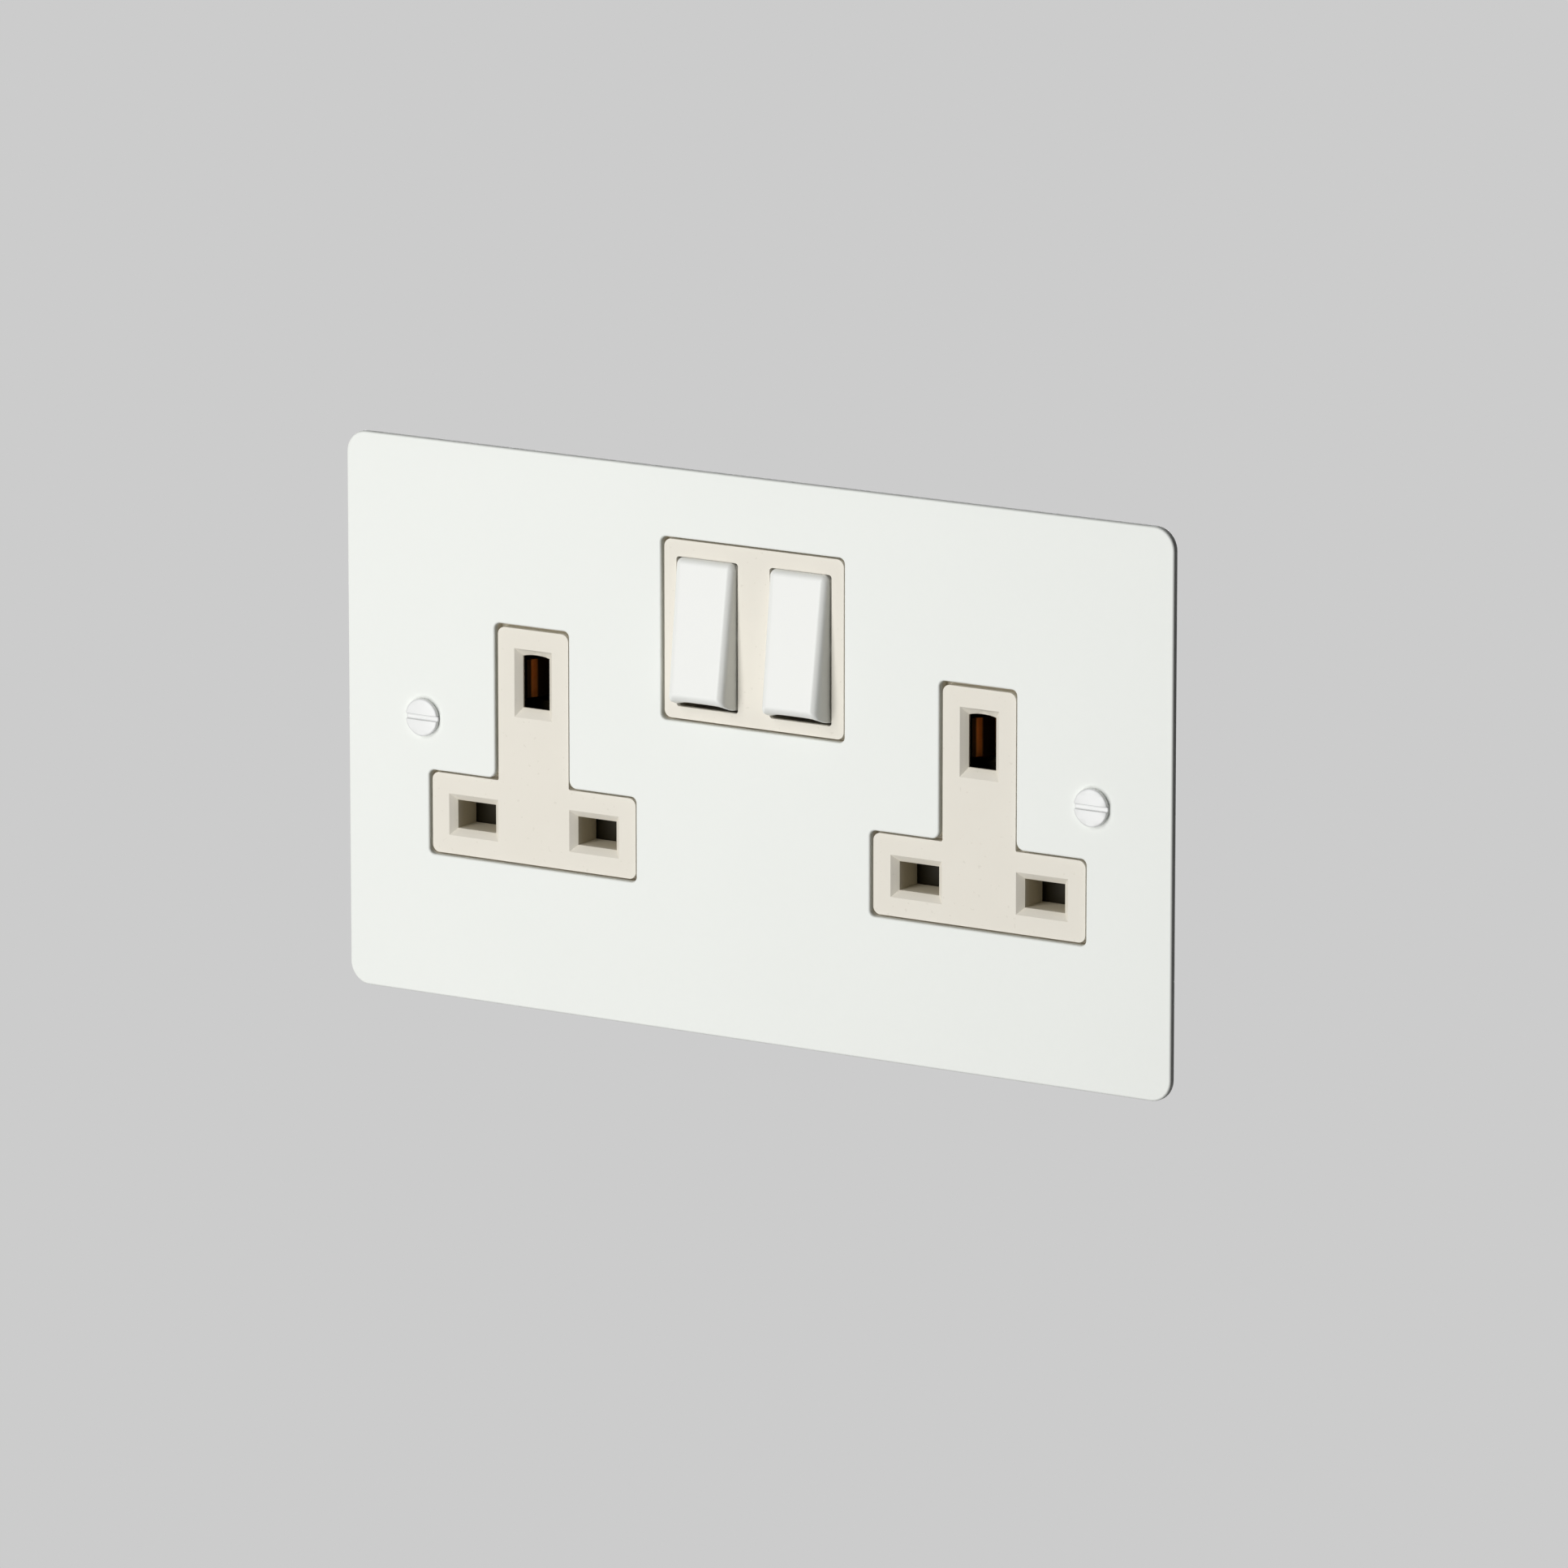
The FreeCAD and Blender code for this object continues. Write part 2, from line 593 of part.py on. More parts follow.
def tilt_to_off(shape, x):
    """Turn a piece drawn with the rocker level to the off position, top pressed in."""
    return shape.rotated(V(x, PIVOT_Y, ROCKER_Z), ACROSS, -ROCKER_TILT / 2)


def rocker_blank(x, draw_in, front):
    """Square rocker form from its front to the end of its skirt, drawn in all round by a wall."""
    half_h = ROCKER_HOLE_H / 2 - ROCKER_END_GAP - draw_in
    half_w = ROCKER_HOLE_W / 2 - ROCKER_GAP - draw_in
    back = PIVOT_Y + SKIRT_DEPTH
    return block(x - half_w, x + half_w, front, back, ROCKER_Z - half_h, ROCKER_Z + half_h)


def rocker(side):
    """Rocker with rounded edges, hollow behind, with its plunger tube and trunnions."""
    x = side * ROCKER_X
    front = INSERT_Y - ROCKER_PROUD
    back = PIVOT_Y + SKIRT_DEPTH
    cap = rocker_blank(x, 0, front)
    cap = cap.makeFillet(ROCKER_EDGE_R, [e for e in cap.Edges if e.BoundBox.YMin < back - TINY])
    cap = cap.cut(rocker_blank(x, ROCKER_WALL, front + ROCKER_FACE_T))
    half = ROCKER_HOLE_W / 2 + TRUNNION_L - RUN_GAP
    inner = ROCKER_HOLE_W / 2 - ROCKER_GAP - ROCKER_WALL / 2
    tube_r = PLUNGER_R + RUN_GAP + PLUNGER_TUBE_WALL
    parts = [rod(tube_r, x, ROCKER_Z, front + ROCKER_FACE_T, PIVOT_Y + PLUNGER_TUBE_END)]
    for way in (-1, 1):
        start = V(x + way * inner, PIVOT_Y, ROCKER_Z)
        parts.append(Part.makeCylinder(TRUNNION_R, half - inner, start, ACROSS * way))
    cap = cap.multiFuse(parts)
    bore = rod(PLUNGER_R + RUN_GAP, x, ROCKER_Z, front + ROCKER_FACE_T, PIVOT_Y + PLUNGER_TUBE_END)
    return tilt_to_off(cap.cut(bore).removeSplitter(), x)


def plunger(side):
    """Round-nosed pin that the rocker presses on its blade."""
    x = side * ROCKER_X
    start = INSERT_Y - ROCKER_PROUD + ROCKER_FACE_T + PLUNGER_SPRING_L
    nose = PIVOT_Y + PLUNGER_REACH - PLUNGER_HEAD
    pin = rod(PLUNGER_R, x, ROCKER_Z, start, nose)
    dome_r = (PLUNGER_R**2 + PLUNGER_HEAD**2) / (2 * PLUNGER_HEAD)
    ball = Part.makeSphere(dome_r, V(x, nose + PLUNGER_HEAD - dome_r, ROCKER_Z))
    tip = ball.common(rod(PLUNGER_R, x, ROCKER_Z, nose, nose + PLUNGER_HEAD))
    return tilt_to_off(pin.fuse(tip).removeSplitter(), x)


def plunger_spring(side):
    """Spring between the rocker's face and its plunger."""
    x = side * ROCKER_X
    length = PLUNGER_SPRING_L - 2 * SPRING_END_GAP
    radius = PLUNGER_R - PLUNGER_SPRING_WIRE / 2 - RUN_GAP
    spring = coil(radius, PLUNGER_SPRING_WIRE, PLUNGER_SPRING_TURNS, length)
    spring.rotate(V(0, 0, 0), ACROSS, -90)
    spring.translate(V(x, INSERT_Y - ROCKER_PROUD + ROCKER_FACE_T + SPRING_END_GAP, ROCKER_Z))
    return tilt_to_off(spring, x)


def switch_blade(side):
    """See-saw contact strip with pivot pins and a contact button near its upper end."""
    x = side * ROCKER_X
    half_w = BLADE_W / 2
    front = BLADE_Y - BLADE_T / 2
    back = BLADE_Y + BLADE_T / 2
    strip = block(x - half_w, x + half_w, front, back, ROCKER_Z - BLADE_HALF, ROCKER_Z + BLADE_HALF)
    fittings = [rod(BUTTON_R, x, ROCKER_Z + BLADE_HALF - BUTTON_R, back, back + BUTTON_H)]
    for way in (-1, 1):
        start = V(x + way * half_w, BLADE_Y, ROCKER_Z)
        fittings.append(Part.makeCylinder(BLADE_PIN_R, CRADLE_GAP + CRADLE_T, start, ACROSS * way))
    blade = strip.multiFuse(fittings).removeSplitter()
    return blade.rotated(V(x, BLADE_Y, ROCKER_Z), ACROSS, BLADE_SWING / 2)


def shutter(side):
    """Sliding shutter: flap over both flat-pin throats, stem, and a ramp for the earth pin."""
    x = side * SOCKET_X
    half = SHUTTER_HALF_W
    flap_corners = [(x - half, FLAP_LOW, FLAP_R), (x + half, FLAP_LOW, FLAP_R), (x + half, FLAP_HIGH, 0)]
    flap = prism(flap_corners + [(x - half, FLAP_HIGH, 0)], SHUTTER_FRONT, SHUTTER_BACK)
    stem_top = EARTH_Z - CLIP_W / 2 - STEM_EARTH_GAP
    stem_x = (x - SHUTTER_STEM_HALF, x + SHUTTER_STEM_HALF)
    stem = block(*stem_x, SHUTTER_FRONT, SHUTTER_BACK, FLAP_HIGH, stem_top)
    ramp = [
        V(x, SHUTTER_FRONT, stem_top - TONGUE_ROOT),
        V(x, SHUTTER_FRONT, stem_top),
        V(x, SHUTTER_FRONT + SHUTTER_TRAVEL, stem_top + SHUTTER_TRAVEL),
        V(x, SHUTTER_FRONT + SHUTTER_TRAVEL + TONGUE_T, stem_top + SHUTTER_TRAVEL),
        V(x, SHUTTER_FRONT + SHUTTER_TRAVEL + TONGUE_T, stem_top - TONGUE_ROOT),
    ]
    tongue = profile_solid(ramp, 2 * TONGUE_HALF, ACROSS)
    middle = (SHUTTER_FRONT + SHUTTER_BACK) / 2
    peg = Part.makeCylinder(PEG_R, PEG_L, V(x, middle, FLAP_LOW - PEG_L), UP)
    peg = peg.common(block(x - PEG_R, x + PEG_R, SHUTTER_FRONT, SHUTTER_BACK, FLAP_LOW - PEG_L, FLAP_LOW))
    return flap.multiFuse([stem, tongue, peg]).removeSplitter()


def shutter_spring(side):
    """Spring that lifts the shutter back over the throats."""
    length = SHUTTER_SPRING_L - 2 * SPRING_END_GAP
    spring = coil(SHUTTER_SPRING_R, SHUTTER_SPRING_WIRE, SHUTTER_SPRING_TURNS, length)
    middle = (SHUTTER_FRONT + SHUTTER_BACK) / 2
    spring.translate(V(side * SOCKET_X, middle, SPRING_SEAT_Z + SPRING_END_GAP))
    return spring


def clip_path(lip_half, lip_length, lip_y, base_y):
    """Middle line of a pin clip: flared lip, grip, root, and the same back on the other jaw."""
    grip = CLIP_GRIP + STRIP_T / 2
    lip = lip_half + STRIP_T / 2
    root = CLIP_ROOT + STRIP_T / 2
    jaw = [(lip, lip_y), (grip, lip_y + lip_length), (root, base_y)]
    return jaw + [(-a, b) for a, b in reversed(jaw)]


def flat_pin_clip(x):
    """Clip that grips a flat pin from above and below, its base on the housing floor."""
    path = clip_path(CLIP_LIP, CLIP_LIP_L, LIP_BACK + CLIP_LIP_GAP, RAIL_Y + STRIP_T / 2)
    points = [V(x, y, PIN_ROW_Z + across) for across, y in folded(path, STRIP_T)]
    return profile_solid(points, CLIP_W, ACROSS)


def earth_clip(x):
    """Clip that grips an earth pin from both sides, its base on the earth rail."""
    path = clip_path(EARTH_LIP, EARTH_LIP_L, INSERT_Y + EARTH_LIP_DEPTH, EARTH_RAIL_Y + STRIP_T / 2)
    points = [V(x + across, y, EARTH_Z) for across, y in folded(path, STRIP_T)]
    return profile_solid(points, CLIP_W, UP)


def floor_strip(x0, x1, z0, z1):
    """Flat length of rail on the housing floor."""
    return block(min(x0, x1), max(x0, x1), RAIL_Y, FLOOR_Y, min(z0, z1), max(z0, z1))


def clip_foot():
    """Half the height of a flat-pin clip's base."""
    return CLIP_ROOT + STRIP_T


def terminal_pad(x, low, high):
    """Rail pad under a terminal, with the hole its screw passes through."""
    pad = floor_strip(x - TERMINAL_HALF_W, x + TERMINAL_HALF_W, low, high)
    return pad, rod(TERMINAL_SCREW_R + RUN_GAP, x, TERMINAL_Z, RAIL_Y, FLOOR_Y)


def live_contact(side):
    """Live clip of one outlet, its link over the floor and the fixed contact of its switch."""
    switch_x = side * ROCKER_X
    clip_x = side * SOCKET_X + PIN_SPREAD
    swing = math.radians(BLADE_SWING / 2)
    button_far = BLADE_HALF * math.sin(swing) + (BLADE_T / 2 + BUTTON_H) * math.cos(swing)
    tab_front = BLADE_Y + button_far + BUTTON_GAP
    tab_y = tab_front + STRIP_T / 2
    foot_y = RAIL_Y + STRIP_T / 2
    tab_low = ROCKER_Z + BLADE_HALF - 2 * BUTTON_R
    tab_high = tab_low + TAB_H
    path = [(tab_y, tab_low), (tab_y, tab_high), (foot_y, tab_high), (foot_y, tab_low)]
    tab = profile_solid([V(switch_x, y, z) for y, z in folded(path, STRIP_T)], BLADE_W, ACROSS)
    far = side * (LINK_X + LINK_W / 2)
    near = side * (LINK_X - LINK_W / 2)
    foot_top = tab_high + STRIP_T / 2
    pieces = [floor_strip(switch_x, far, tab_low, foot_top)]
    if side < 0:
        pieces.append(floor_strip(near, far, PIN_ROW_Z - clip_foot(), foot_top))
        pieces.append(floor_strip(far, clip_x, PIN_ROW_Z - clip_foot(), PIN_ROW_Z + clip_foot()))
    else:
        cross_low = LINK_CROSS_Z - LINK_W / 2
        cross_high = LINK_CROSS_Z + LINK_W / 2
        end = min(NOTCH_X - WALL_T - NOTCH_CLEAR, clip_x + CLIP_W / 2)
        pieces.append(floor_strip(near, far, cross_low, foot_top))
        pieces.append(floor_strip(near, end, cross_low, cross_high))
        pieces.append(floor_strip(end - LINK_W, end, PIN_ROW_Z, cross_high))
        reach = sorted((end, clip_x))
        pieces.append(floor_strip(*reach, PIN_ROW_Z - LINK_W / 2, PIN_ROW_Z + LINK_W / 2))
    return flat_pin_clip(clip_x).multiFuse(pieces + [tab]).removeSplitter()


def cradle(x):
    """Pair of slotted ears that carry a blade's pivot pins."""
    ears = []
    for way in (-1, 1):
        inner = BLADE_W / 2 + CRADLE_GAP
        xs = sorted((x + way * inner, x + way * (inner + CRADLE_T)))
        ear = block(*xs, BLADE_Y - CRADLE_LIP, FLOOR_Y, ROCKER_Z - CRADLE_HALF, ROCKER_Z + CRADLE_HALF)
        slot_r = BLADE_PIN_R + RUN_GAP
        slot = block(*xs, BLADE_Y - CRADLE_LIP, BLADE_Y, ROCKER_Z - slot_r, ROCKER_Z + slot_r)
        seat = Part.makeCylinder(slot_r, CRADLE_T, V(xs[0], BLADE_Y, ROCKER_Z), ACROSS)
        ears.append(ear.cut([slot, seat]))
    return ears


def live_rail():
    """Rail from the live terminal to the cradles of both blades."""
    x = -TERMINAL_PITCH
    half = TERMINAL_LEN / 2
    pad, hole = terminal_pad(x, TERMINAL_Z - half, TERMINAL_Z + half)
    low = ROCKER_Z - CRADLE_HALF - LIVE_RAIL_MARGIN
    high = ROCKER_Z + CRADLE_HALF + LIVE_RAIL_MARGIN
    riser = floor_strip(x - LIVE_RAIL_W / 2, x + LIVE_RAIL_W / 2, TERMINAL_Z, high)
    end = ROCKER_X + BLADE_W / 2 + CRADLE_GAP + CRADLE_T + LIVE_RAIL_MARGIN
    bridge = floor_strip(x - LIVE_RAIL_W / 2, end, low, high)
    ears = cradle(-ROCKER_X) + cradle(ROCKER_X)
    return pad.multiFuse([riser, bridge] + ears).cut(hole).removeSplitter()


def neutral_rail():
    """Rail below the outlets that joins both neutral clips to the neutral terminal."""
    half = LINK_W / 2
    low = NEUTRAL_RAIL_Z - half
    clips = [side * SOCKET_X - PIN_SPREAD for _, side in SIDES]
    tail = clips[0] + CLIP_W / 2 - LINK_W
    pad, hole = terminal_pad(TERMINAL_PITCH, low, TERMINAL_Z + TERMINAL_LEN / 2)
    pieces = [pad, floor_strip(tail, clips[1] + CLIP_W / 2, low, NEUTRAL_RAIL_Z + half)]
    pieces.append(floor_strip(tail, tail + LINK_W, low, PIN_ROW_Z))
    pieces.append(floor_strip(clips[1] + CLIP_W / 2 - LINK_W, clips[1] + CLIP_W / 2, low, PIN_ROW_Z))
    pieces.append(flat_pin_clip(clips[1]))
    return flat_pin_clip(clips[0]).multiFuse(pieces).cut(hole).removeSplitter()


def earth_rail():
    """Raised rail between both earth clips, stepped down to its terminal, with a tongue to the plate."""
    half_clip = CLIP_ROOT + STRIP_T
    back = EARTH_RAIL_Y + STRIP_T
    low = EARTH_Z - EARTH_RAIL_LOW
    high = EARTH_RAIL_TOP
    half_tongue = EARTH_TONGUE_W / 2
    tongue_x = (EARTH_TONGUE_X - half_tongue, EARTH_TONGUE_X + half_tongue)
    tongue = block(*tongue_x, RUN_GAP, back, high - STRIP_T, high)
    pieces = [tongue, block(-SOCKET_X - half_clip, SOCKET_X + half_clip, EARTH_RAIL_Y, back, low, high)]
    for _, side in SIDES:
        x = side * SOCKET_X
        pieces.append(block(x - half_clip, x + half_clip, EARTH_RAIL_Y, back, low, EARTH_Z + CLIP_W / 2))
        pieces.append(earth_clip(x))
    rail_y = EARTH_RAIL_Y + STRIP_T / 2
    floor_y = RAIL_Y + STRIP_T / 2
    foot = TERMINAL_Z - TERMINAL_LEN / 2
    path = [(rail_y, high), (rail_y, EARTH_JOGGLE_Z), (floor_y, EARTH_JOGGLE_Z), (floor_y, foot)]
    tail = profile_solid([V(0, y, z) for y, z in folded(path, STRIP_T)], 2 * EARTH_TAIL_HALF, ACROSS)
    hole = rod(TERMINAL_SCREW_R + RUN_GAP, 0, TERMINAL_Z, RAIL_Y, FLOOR_Y)
    return tail.multiFuse(pieces).cut(hole).removeSplitter()


def terminal(x):
    """Brass terminal block with a square cable bore along Z and a screw hole from the rear."""
    low = TERMINAL_Z - TERMINAL_LEN / 2
    high = TERMINAL_Z + TERMINAL_LEN / 2
    body = block(x - TERMINAL_HALF_W, x + TERMINAL_HALF_W, TERMINAL_FRONT, TERMINAL_BACK, low, high)
    half = TERMINAL_BORE / 2
    bore = block(x - half, x + half, BORE_Y - half, BORE_Y + half, low, high)
    hole = rod(TERMINAL_SCREW_R + RUN_GAP, x, TERMINAL_Z, BORE_Y, TERMINAL_BACK)
    return body.cut([bore, hole])


def terminal_screw(x):
    """Grub-length screw from the rear of the housing into its terminal."""
    head = rod(TERMINAL_SCREW_HEAD_R, x, TERMINAL_Z, FLOOR_Y, BODY_DEPTH)
    tip = BORE_Y + TERMINAL_BORE / 2 + TERMINAL_SCREW_TIP
    screw = head.fuse(rod(TERMINAL_SCREW_R, x, TERMINAL_Z, tip, FLOOR_Y))
    return slotted(screw, TERMINAL_SCREW_HEAD_R, x, TERMINAL_Z, BODY_DEPTH)


def pieces():
    """Every piece of the socket by name."""
    terminal_xs = [step * TERMINAL_PITCH for step in (-1, 0, 1)]
    made = {
        "front_plate": front_plate(),
        "front_moulding": front_moulding(),
        "rear_housing": rear_housing(),
        "fixing_screws": Part.makeCompound([fixing_screw(side * FIX_X) for _, side in SIDES]),
        "body_screws": Part.makeCompound([body_screw(x, z) for x, z in body_screw_places()]),
        "plate_bushes": Part.makeCompound([plate_bush(x, z) for x, z in body_screw_places()]),
        "terminal_screws": Part.makeCompound([terminal_screw(x) for x in terminal_xs]),
        "live_rail": live_rail(),
        "neutral_rail": neutral_rail(),
        "earth_rail": earth_rail(),
    }
    for name, x in zip(("live", "earth", "neutral"), terminal_xs):
        made[f"{name}_terminal"] = terminal(x)
    for name, side in SIDES:
        made[f"{name}_rocker"] = rocker(side)
        made[f"{name}_plunger"] = plunger(side)
        made[f"{name}_plunger_spring"] = plunger_spring(side)
        made[f"{name}_switch_blade"] = switch_blade(side)
        made[f"{name}_shutter"] = shutter(side)
        made[f"{name}_shutter_spring"] = shutter_spring(side)
        made[f"{name}_live_contact"] = live_contact(side)
    return made


os.makedirs("parts", exist_ok=True)
for name, shape in pieces().items():
    shape.exportStep(f"parts/{name}.step")
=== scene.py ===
import json
import math

import bmesh
import bpy
from mathutils import Matrix, Vector

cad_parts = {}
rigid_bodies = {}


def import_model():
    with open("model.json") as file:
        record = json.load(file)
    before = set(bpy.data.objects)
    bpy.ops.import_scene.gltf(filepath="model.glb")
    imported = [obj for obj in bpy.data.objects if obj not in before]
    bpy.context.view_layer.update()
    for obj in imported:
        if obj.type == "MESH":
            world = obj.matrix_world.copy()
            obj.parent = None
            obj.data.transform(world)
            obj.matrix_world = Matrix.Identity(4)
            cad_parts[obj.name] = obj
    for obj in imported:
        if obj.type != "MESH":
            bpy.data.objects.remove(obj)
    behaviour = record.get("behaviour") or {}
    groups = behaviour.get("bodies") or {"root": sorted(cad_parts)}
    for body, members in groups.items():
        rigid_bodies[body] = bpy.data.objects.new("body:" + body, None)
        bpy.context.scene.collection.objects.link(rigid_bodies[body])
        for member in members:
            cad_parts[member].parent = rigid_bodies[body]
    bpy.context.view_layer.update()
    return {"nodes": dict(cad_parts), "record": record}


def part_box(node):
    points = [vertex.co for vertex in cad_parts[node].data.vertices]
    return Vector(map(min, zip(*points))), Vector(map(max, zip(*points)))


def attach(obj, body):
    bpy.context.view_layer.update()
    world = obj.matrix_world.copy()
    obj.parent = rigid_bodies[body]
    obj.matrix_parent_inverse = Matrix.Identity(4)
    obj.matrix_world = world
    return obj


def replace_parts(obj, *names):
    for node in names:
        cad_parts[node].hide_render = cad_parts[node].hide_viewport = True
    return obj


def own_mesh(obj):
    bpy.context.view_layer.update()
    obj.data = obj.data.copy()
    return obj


# A twin switched wall socket with a flat white plate, hanging before a plain grey ground.

for leftover in list(bpy.data.objects):
    bpy.data.objects.remove(leftover)
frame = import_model()

MM = 0.001
SLOT_OF = {part["node"]: part["material_slot"] for part in frame["record"]["subparts"]}
BODY_OF = {node: body for body, nodes in frame["record"]["behaviour"]["bodies"].items() for node in nodes}

# Camera: where it stands round the plate, and its long lens
VIEW_TURN = math.radians(32.1675)
VIEW_RISE = math.radians(12.5192)
VIEW_DISTANCE = 1881.99 * MM
VIEW_TARGET = Vector((5.757, -1.0, -2.854)) * MM
LENS = 283.838
SENSOR = 36.0

# Ground, floor and lamps
GROUND_GREY = 0.604
AMBIENT = 0.015
FLOOR_GREY = (0.6, 0.6, 0.6)
FLOOR_Z = -0.25
FLOOR_SOLID_R = 0.2
FLOOR_R = 0.4
FLOOR_SIDES = 96
KEY_FROM = Vector((-0.28, -0.955, 0.06))
KEY_DISTANCE = 0.8
KEY_SIZE = (0.48, 1.5)
KEY_POWER = 9.2
REAR_FROM = Vector((-0.5, 0.85, -0.08))
REAR_DISTANCE = 1.6
REAR_SIZE = (0.9, 0.6)
REAR_POWER = 20.0

# From here on, plain lengths are in millimetres. Softened edges of the pieces that have sharp ones
EDGE = {
    "front_plate": 0.05,
    "front_moulding": 0.06,
    "rear_housing": 0.2,
    "fixing_screws": 0.08,
    "body_screws": 0.15,
    "terminal_screws": 0.15,
    "plate_bushes": 0.15,
    "live_terminal": 0.2,
    "earth_terminal": 0.2,
    "neutral_terminal": 0.2,
    "live_rail": 0.1,
    "neutral_rail": 0.1,
    "earth_rail": 0.1,
    "shutter": 0.15,
    "live_contact": 0.1,
    "switch_blade": 0.08,
}
EDGE_STEPS = 2
MERGE = 0.002 * MM
FLAT = math.radians(0.5)
SHARP = math.radians(32)

# Cut-outs round the outlets and the switches: corners, gap and radii of the solids, then of the real plate,
# how much lower its stem tops are, and how near a vertex has to be to count as on an outline
OUTLET_X = 40.2
BAR_HALF = 19.1
BAR_LOW = -21.6
SHOULDER = -8.2
STEM_HALF = 6.825
STEM_TOP = 16.4
WINDOW_HALF = 16.5
WINDOW_LOW = 4.7
WINDOW_TOP = 33.3
CUTOUT_R = 1.7
BOSS_R = 2.0
BOSS_GAP = 0.45
LIP_R = 0.3
REAL_CUTOUT_R = 0.95
REAL_BOSS_R = 1.2
REAL_GAP = 0.37
REAL_TOP_DROP = 0.25
SLACK = 0.03
INNER_START = 0.1

# Necks of the earth apertures: half size and depth in the solid, and how far top and bottom close in
EARTH_Z = 7.23
NECK_HALF = (2.42, 4.37)
NECK_ARCH = 0.6
NECK_DEPTHS = (0.4, 0.8)
NECK_DROP = 0.16
NECK_FLATTEN = 0.5
NECK_LIFT = 0.41

# Rockers: pivot and size of the solid, then draft, swing and hollow of the real cap
PIVOT = Vector((8.4, 1.0, 18.85))
REST_TILT = math.radians(-7)
CAP_HALF_W = 5.3
CAP_HALF_H = 11.0
CAP_EDGE = 1.1
CAP_FRONT = -3.9
CAP_BASE = -1.5
CAP_MORE = 0.3
CAP_DRAFT = 0.13
CAP_END_START = 8.0
CAP_TOP = 11.2
CAP_SWING_R = 11.3
CAP_DROP = 0.35
CAP_HOLLOW = 0.5
CAP_HOLLOW_FRONT = 0.1
CAP_HOLLOW_POWER = 6
CAP_CORNER = 0.35
CAP_SLICES = 8

# Springs: turns of each kind and the thickness of its wire
SPRING_WIRE = {"plunger_spring": (4, 0.4), "shutter_spring": (5, 0.5)}
COIL_STEPS = 24
WIRE_SIDES = 8

# Thread of the fixing screws, with the shares of its pitch where the root ends and the crest starts and ends
THREAD_PITCH = 0.6
THREAD_DEPTH = 0.32
THREAD_R = 1.75
THREAD_ROOT_END = 0.25
THREAD_CREST = (0.56, 0.69)
THREAD_STEPS = 24
THREAD_START = 0.4
TIP_L = 0.6

# Heads of the fixing screws: size, and the painted shade that darkens the paint near the rim and along the
# slot's edges
FIX_X = 60.3
HEAD_R = 2.95
HEAD_RIM_Y = -1.2
HEAD_EDGE = 0.35
SLOT_HALF = 0.41
RIM_PAINTED_SHADE_BAND = (0.32, 0.12, 0.06)
RIM_PAINTED_SHADE = 0.35
SLOT_PAINTED_SHADE_BAND = 0.14
SLOT_PAINTED_SHADE = 0.2
SLOT_UPPER_PAINTED_SHADE = 0.55
SLOT_MIDDLE = 0.1
PAINT_END = (-0.5, -0.3)

# Depths between which painted shade darkens the cream plastic, more the further back it lies
CREAM_PAINTED_SHADE_DEPTHS = (-0.45, 2.2)

# Depths where the contact lips go from tarnished to wiped, back, and on to the plain strip
WIPED = (3.3, 3.6, 4.25, 4.65, 7.2, 8.0)
LIP_TARNISH = (0.055, 0.035, 0.018)

# Raised marks by the terminals: how far across each stands, and its outlines as read from the rear
REAR_Y = 21.5
MARK_Z = -8.6
MARK_H = 0.3
MARK_SINK = 0.1
MARK_EDGE = 0.06
MARKS = {
    "live_mark": (-14.0, [
        [(-0.9, -1.5), (0.9, -1.5), (0.9, -0.9), (-0.3, -0.9), (-0.3, 1.5), (-0.9, 1.5)],
    ]),
    "earth_mark": (0.0, [
        [(-0.2, 1.6), (-0.2, 0.5), (-1.5, 0.5), (-1.5, 0.1), (1.5, 0.1), (1.5, 0.5), (0.2, 0.5), (0.2, 1.6)],
        [(-1.0, -0.3), (-1.0, -0.7), (1.0, -0.7), (1.0, -0.3)],
        [(-0.5, -1.1), (-0.5, -1.5), (0.5, -1.5), (0.5, -1.1)],
    ]),
    "neutral_mark": (14.0, [
        [(-1.1, -1.5), (-0.5, -1.5), (-0.5, 0.5), (0.5, -1.5), (1.1, -1.5),
         (1.1, 1.5), (0.5, 1.5), (0.5, -0.5), (-0.5, 1.5), (-1.1, 1.5)],
    ]),
}


class Wire:
    """A shader socket that takes part in sums as a number does."""

    def __init__(self, finish, socket):
        self.finish = finish
        self.socket = socket

    def __add__(self, other):
        return self.finish.sum("ADD", self, other)

    def __sub__(self, other):
        return self.finish.sum("SUBTRACT", self, other)

    def __rsub__(self, other):
        return self.finish.sum("SUBTRACT", other, self)

    def __mul__(self, other):
        return self.finish.sum("MULTIPLY", self, other)

    def __or__(self, other):
        return self.finish.sum("MAXIMUM", self, other)

    __radd__ = __add__
    __rmul__ = __mul__
    __ror__ = __or__


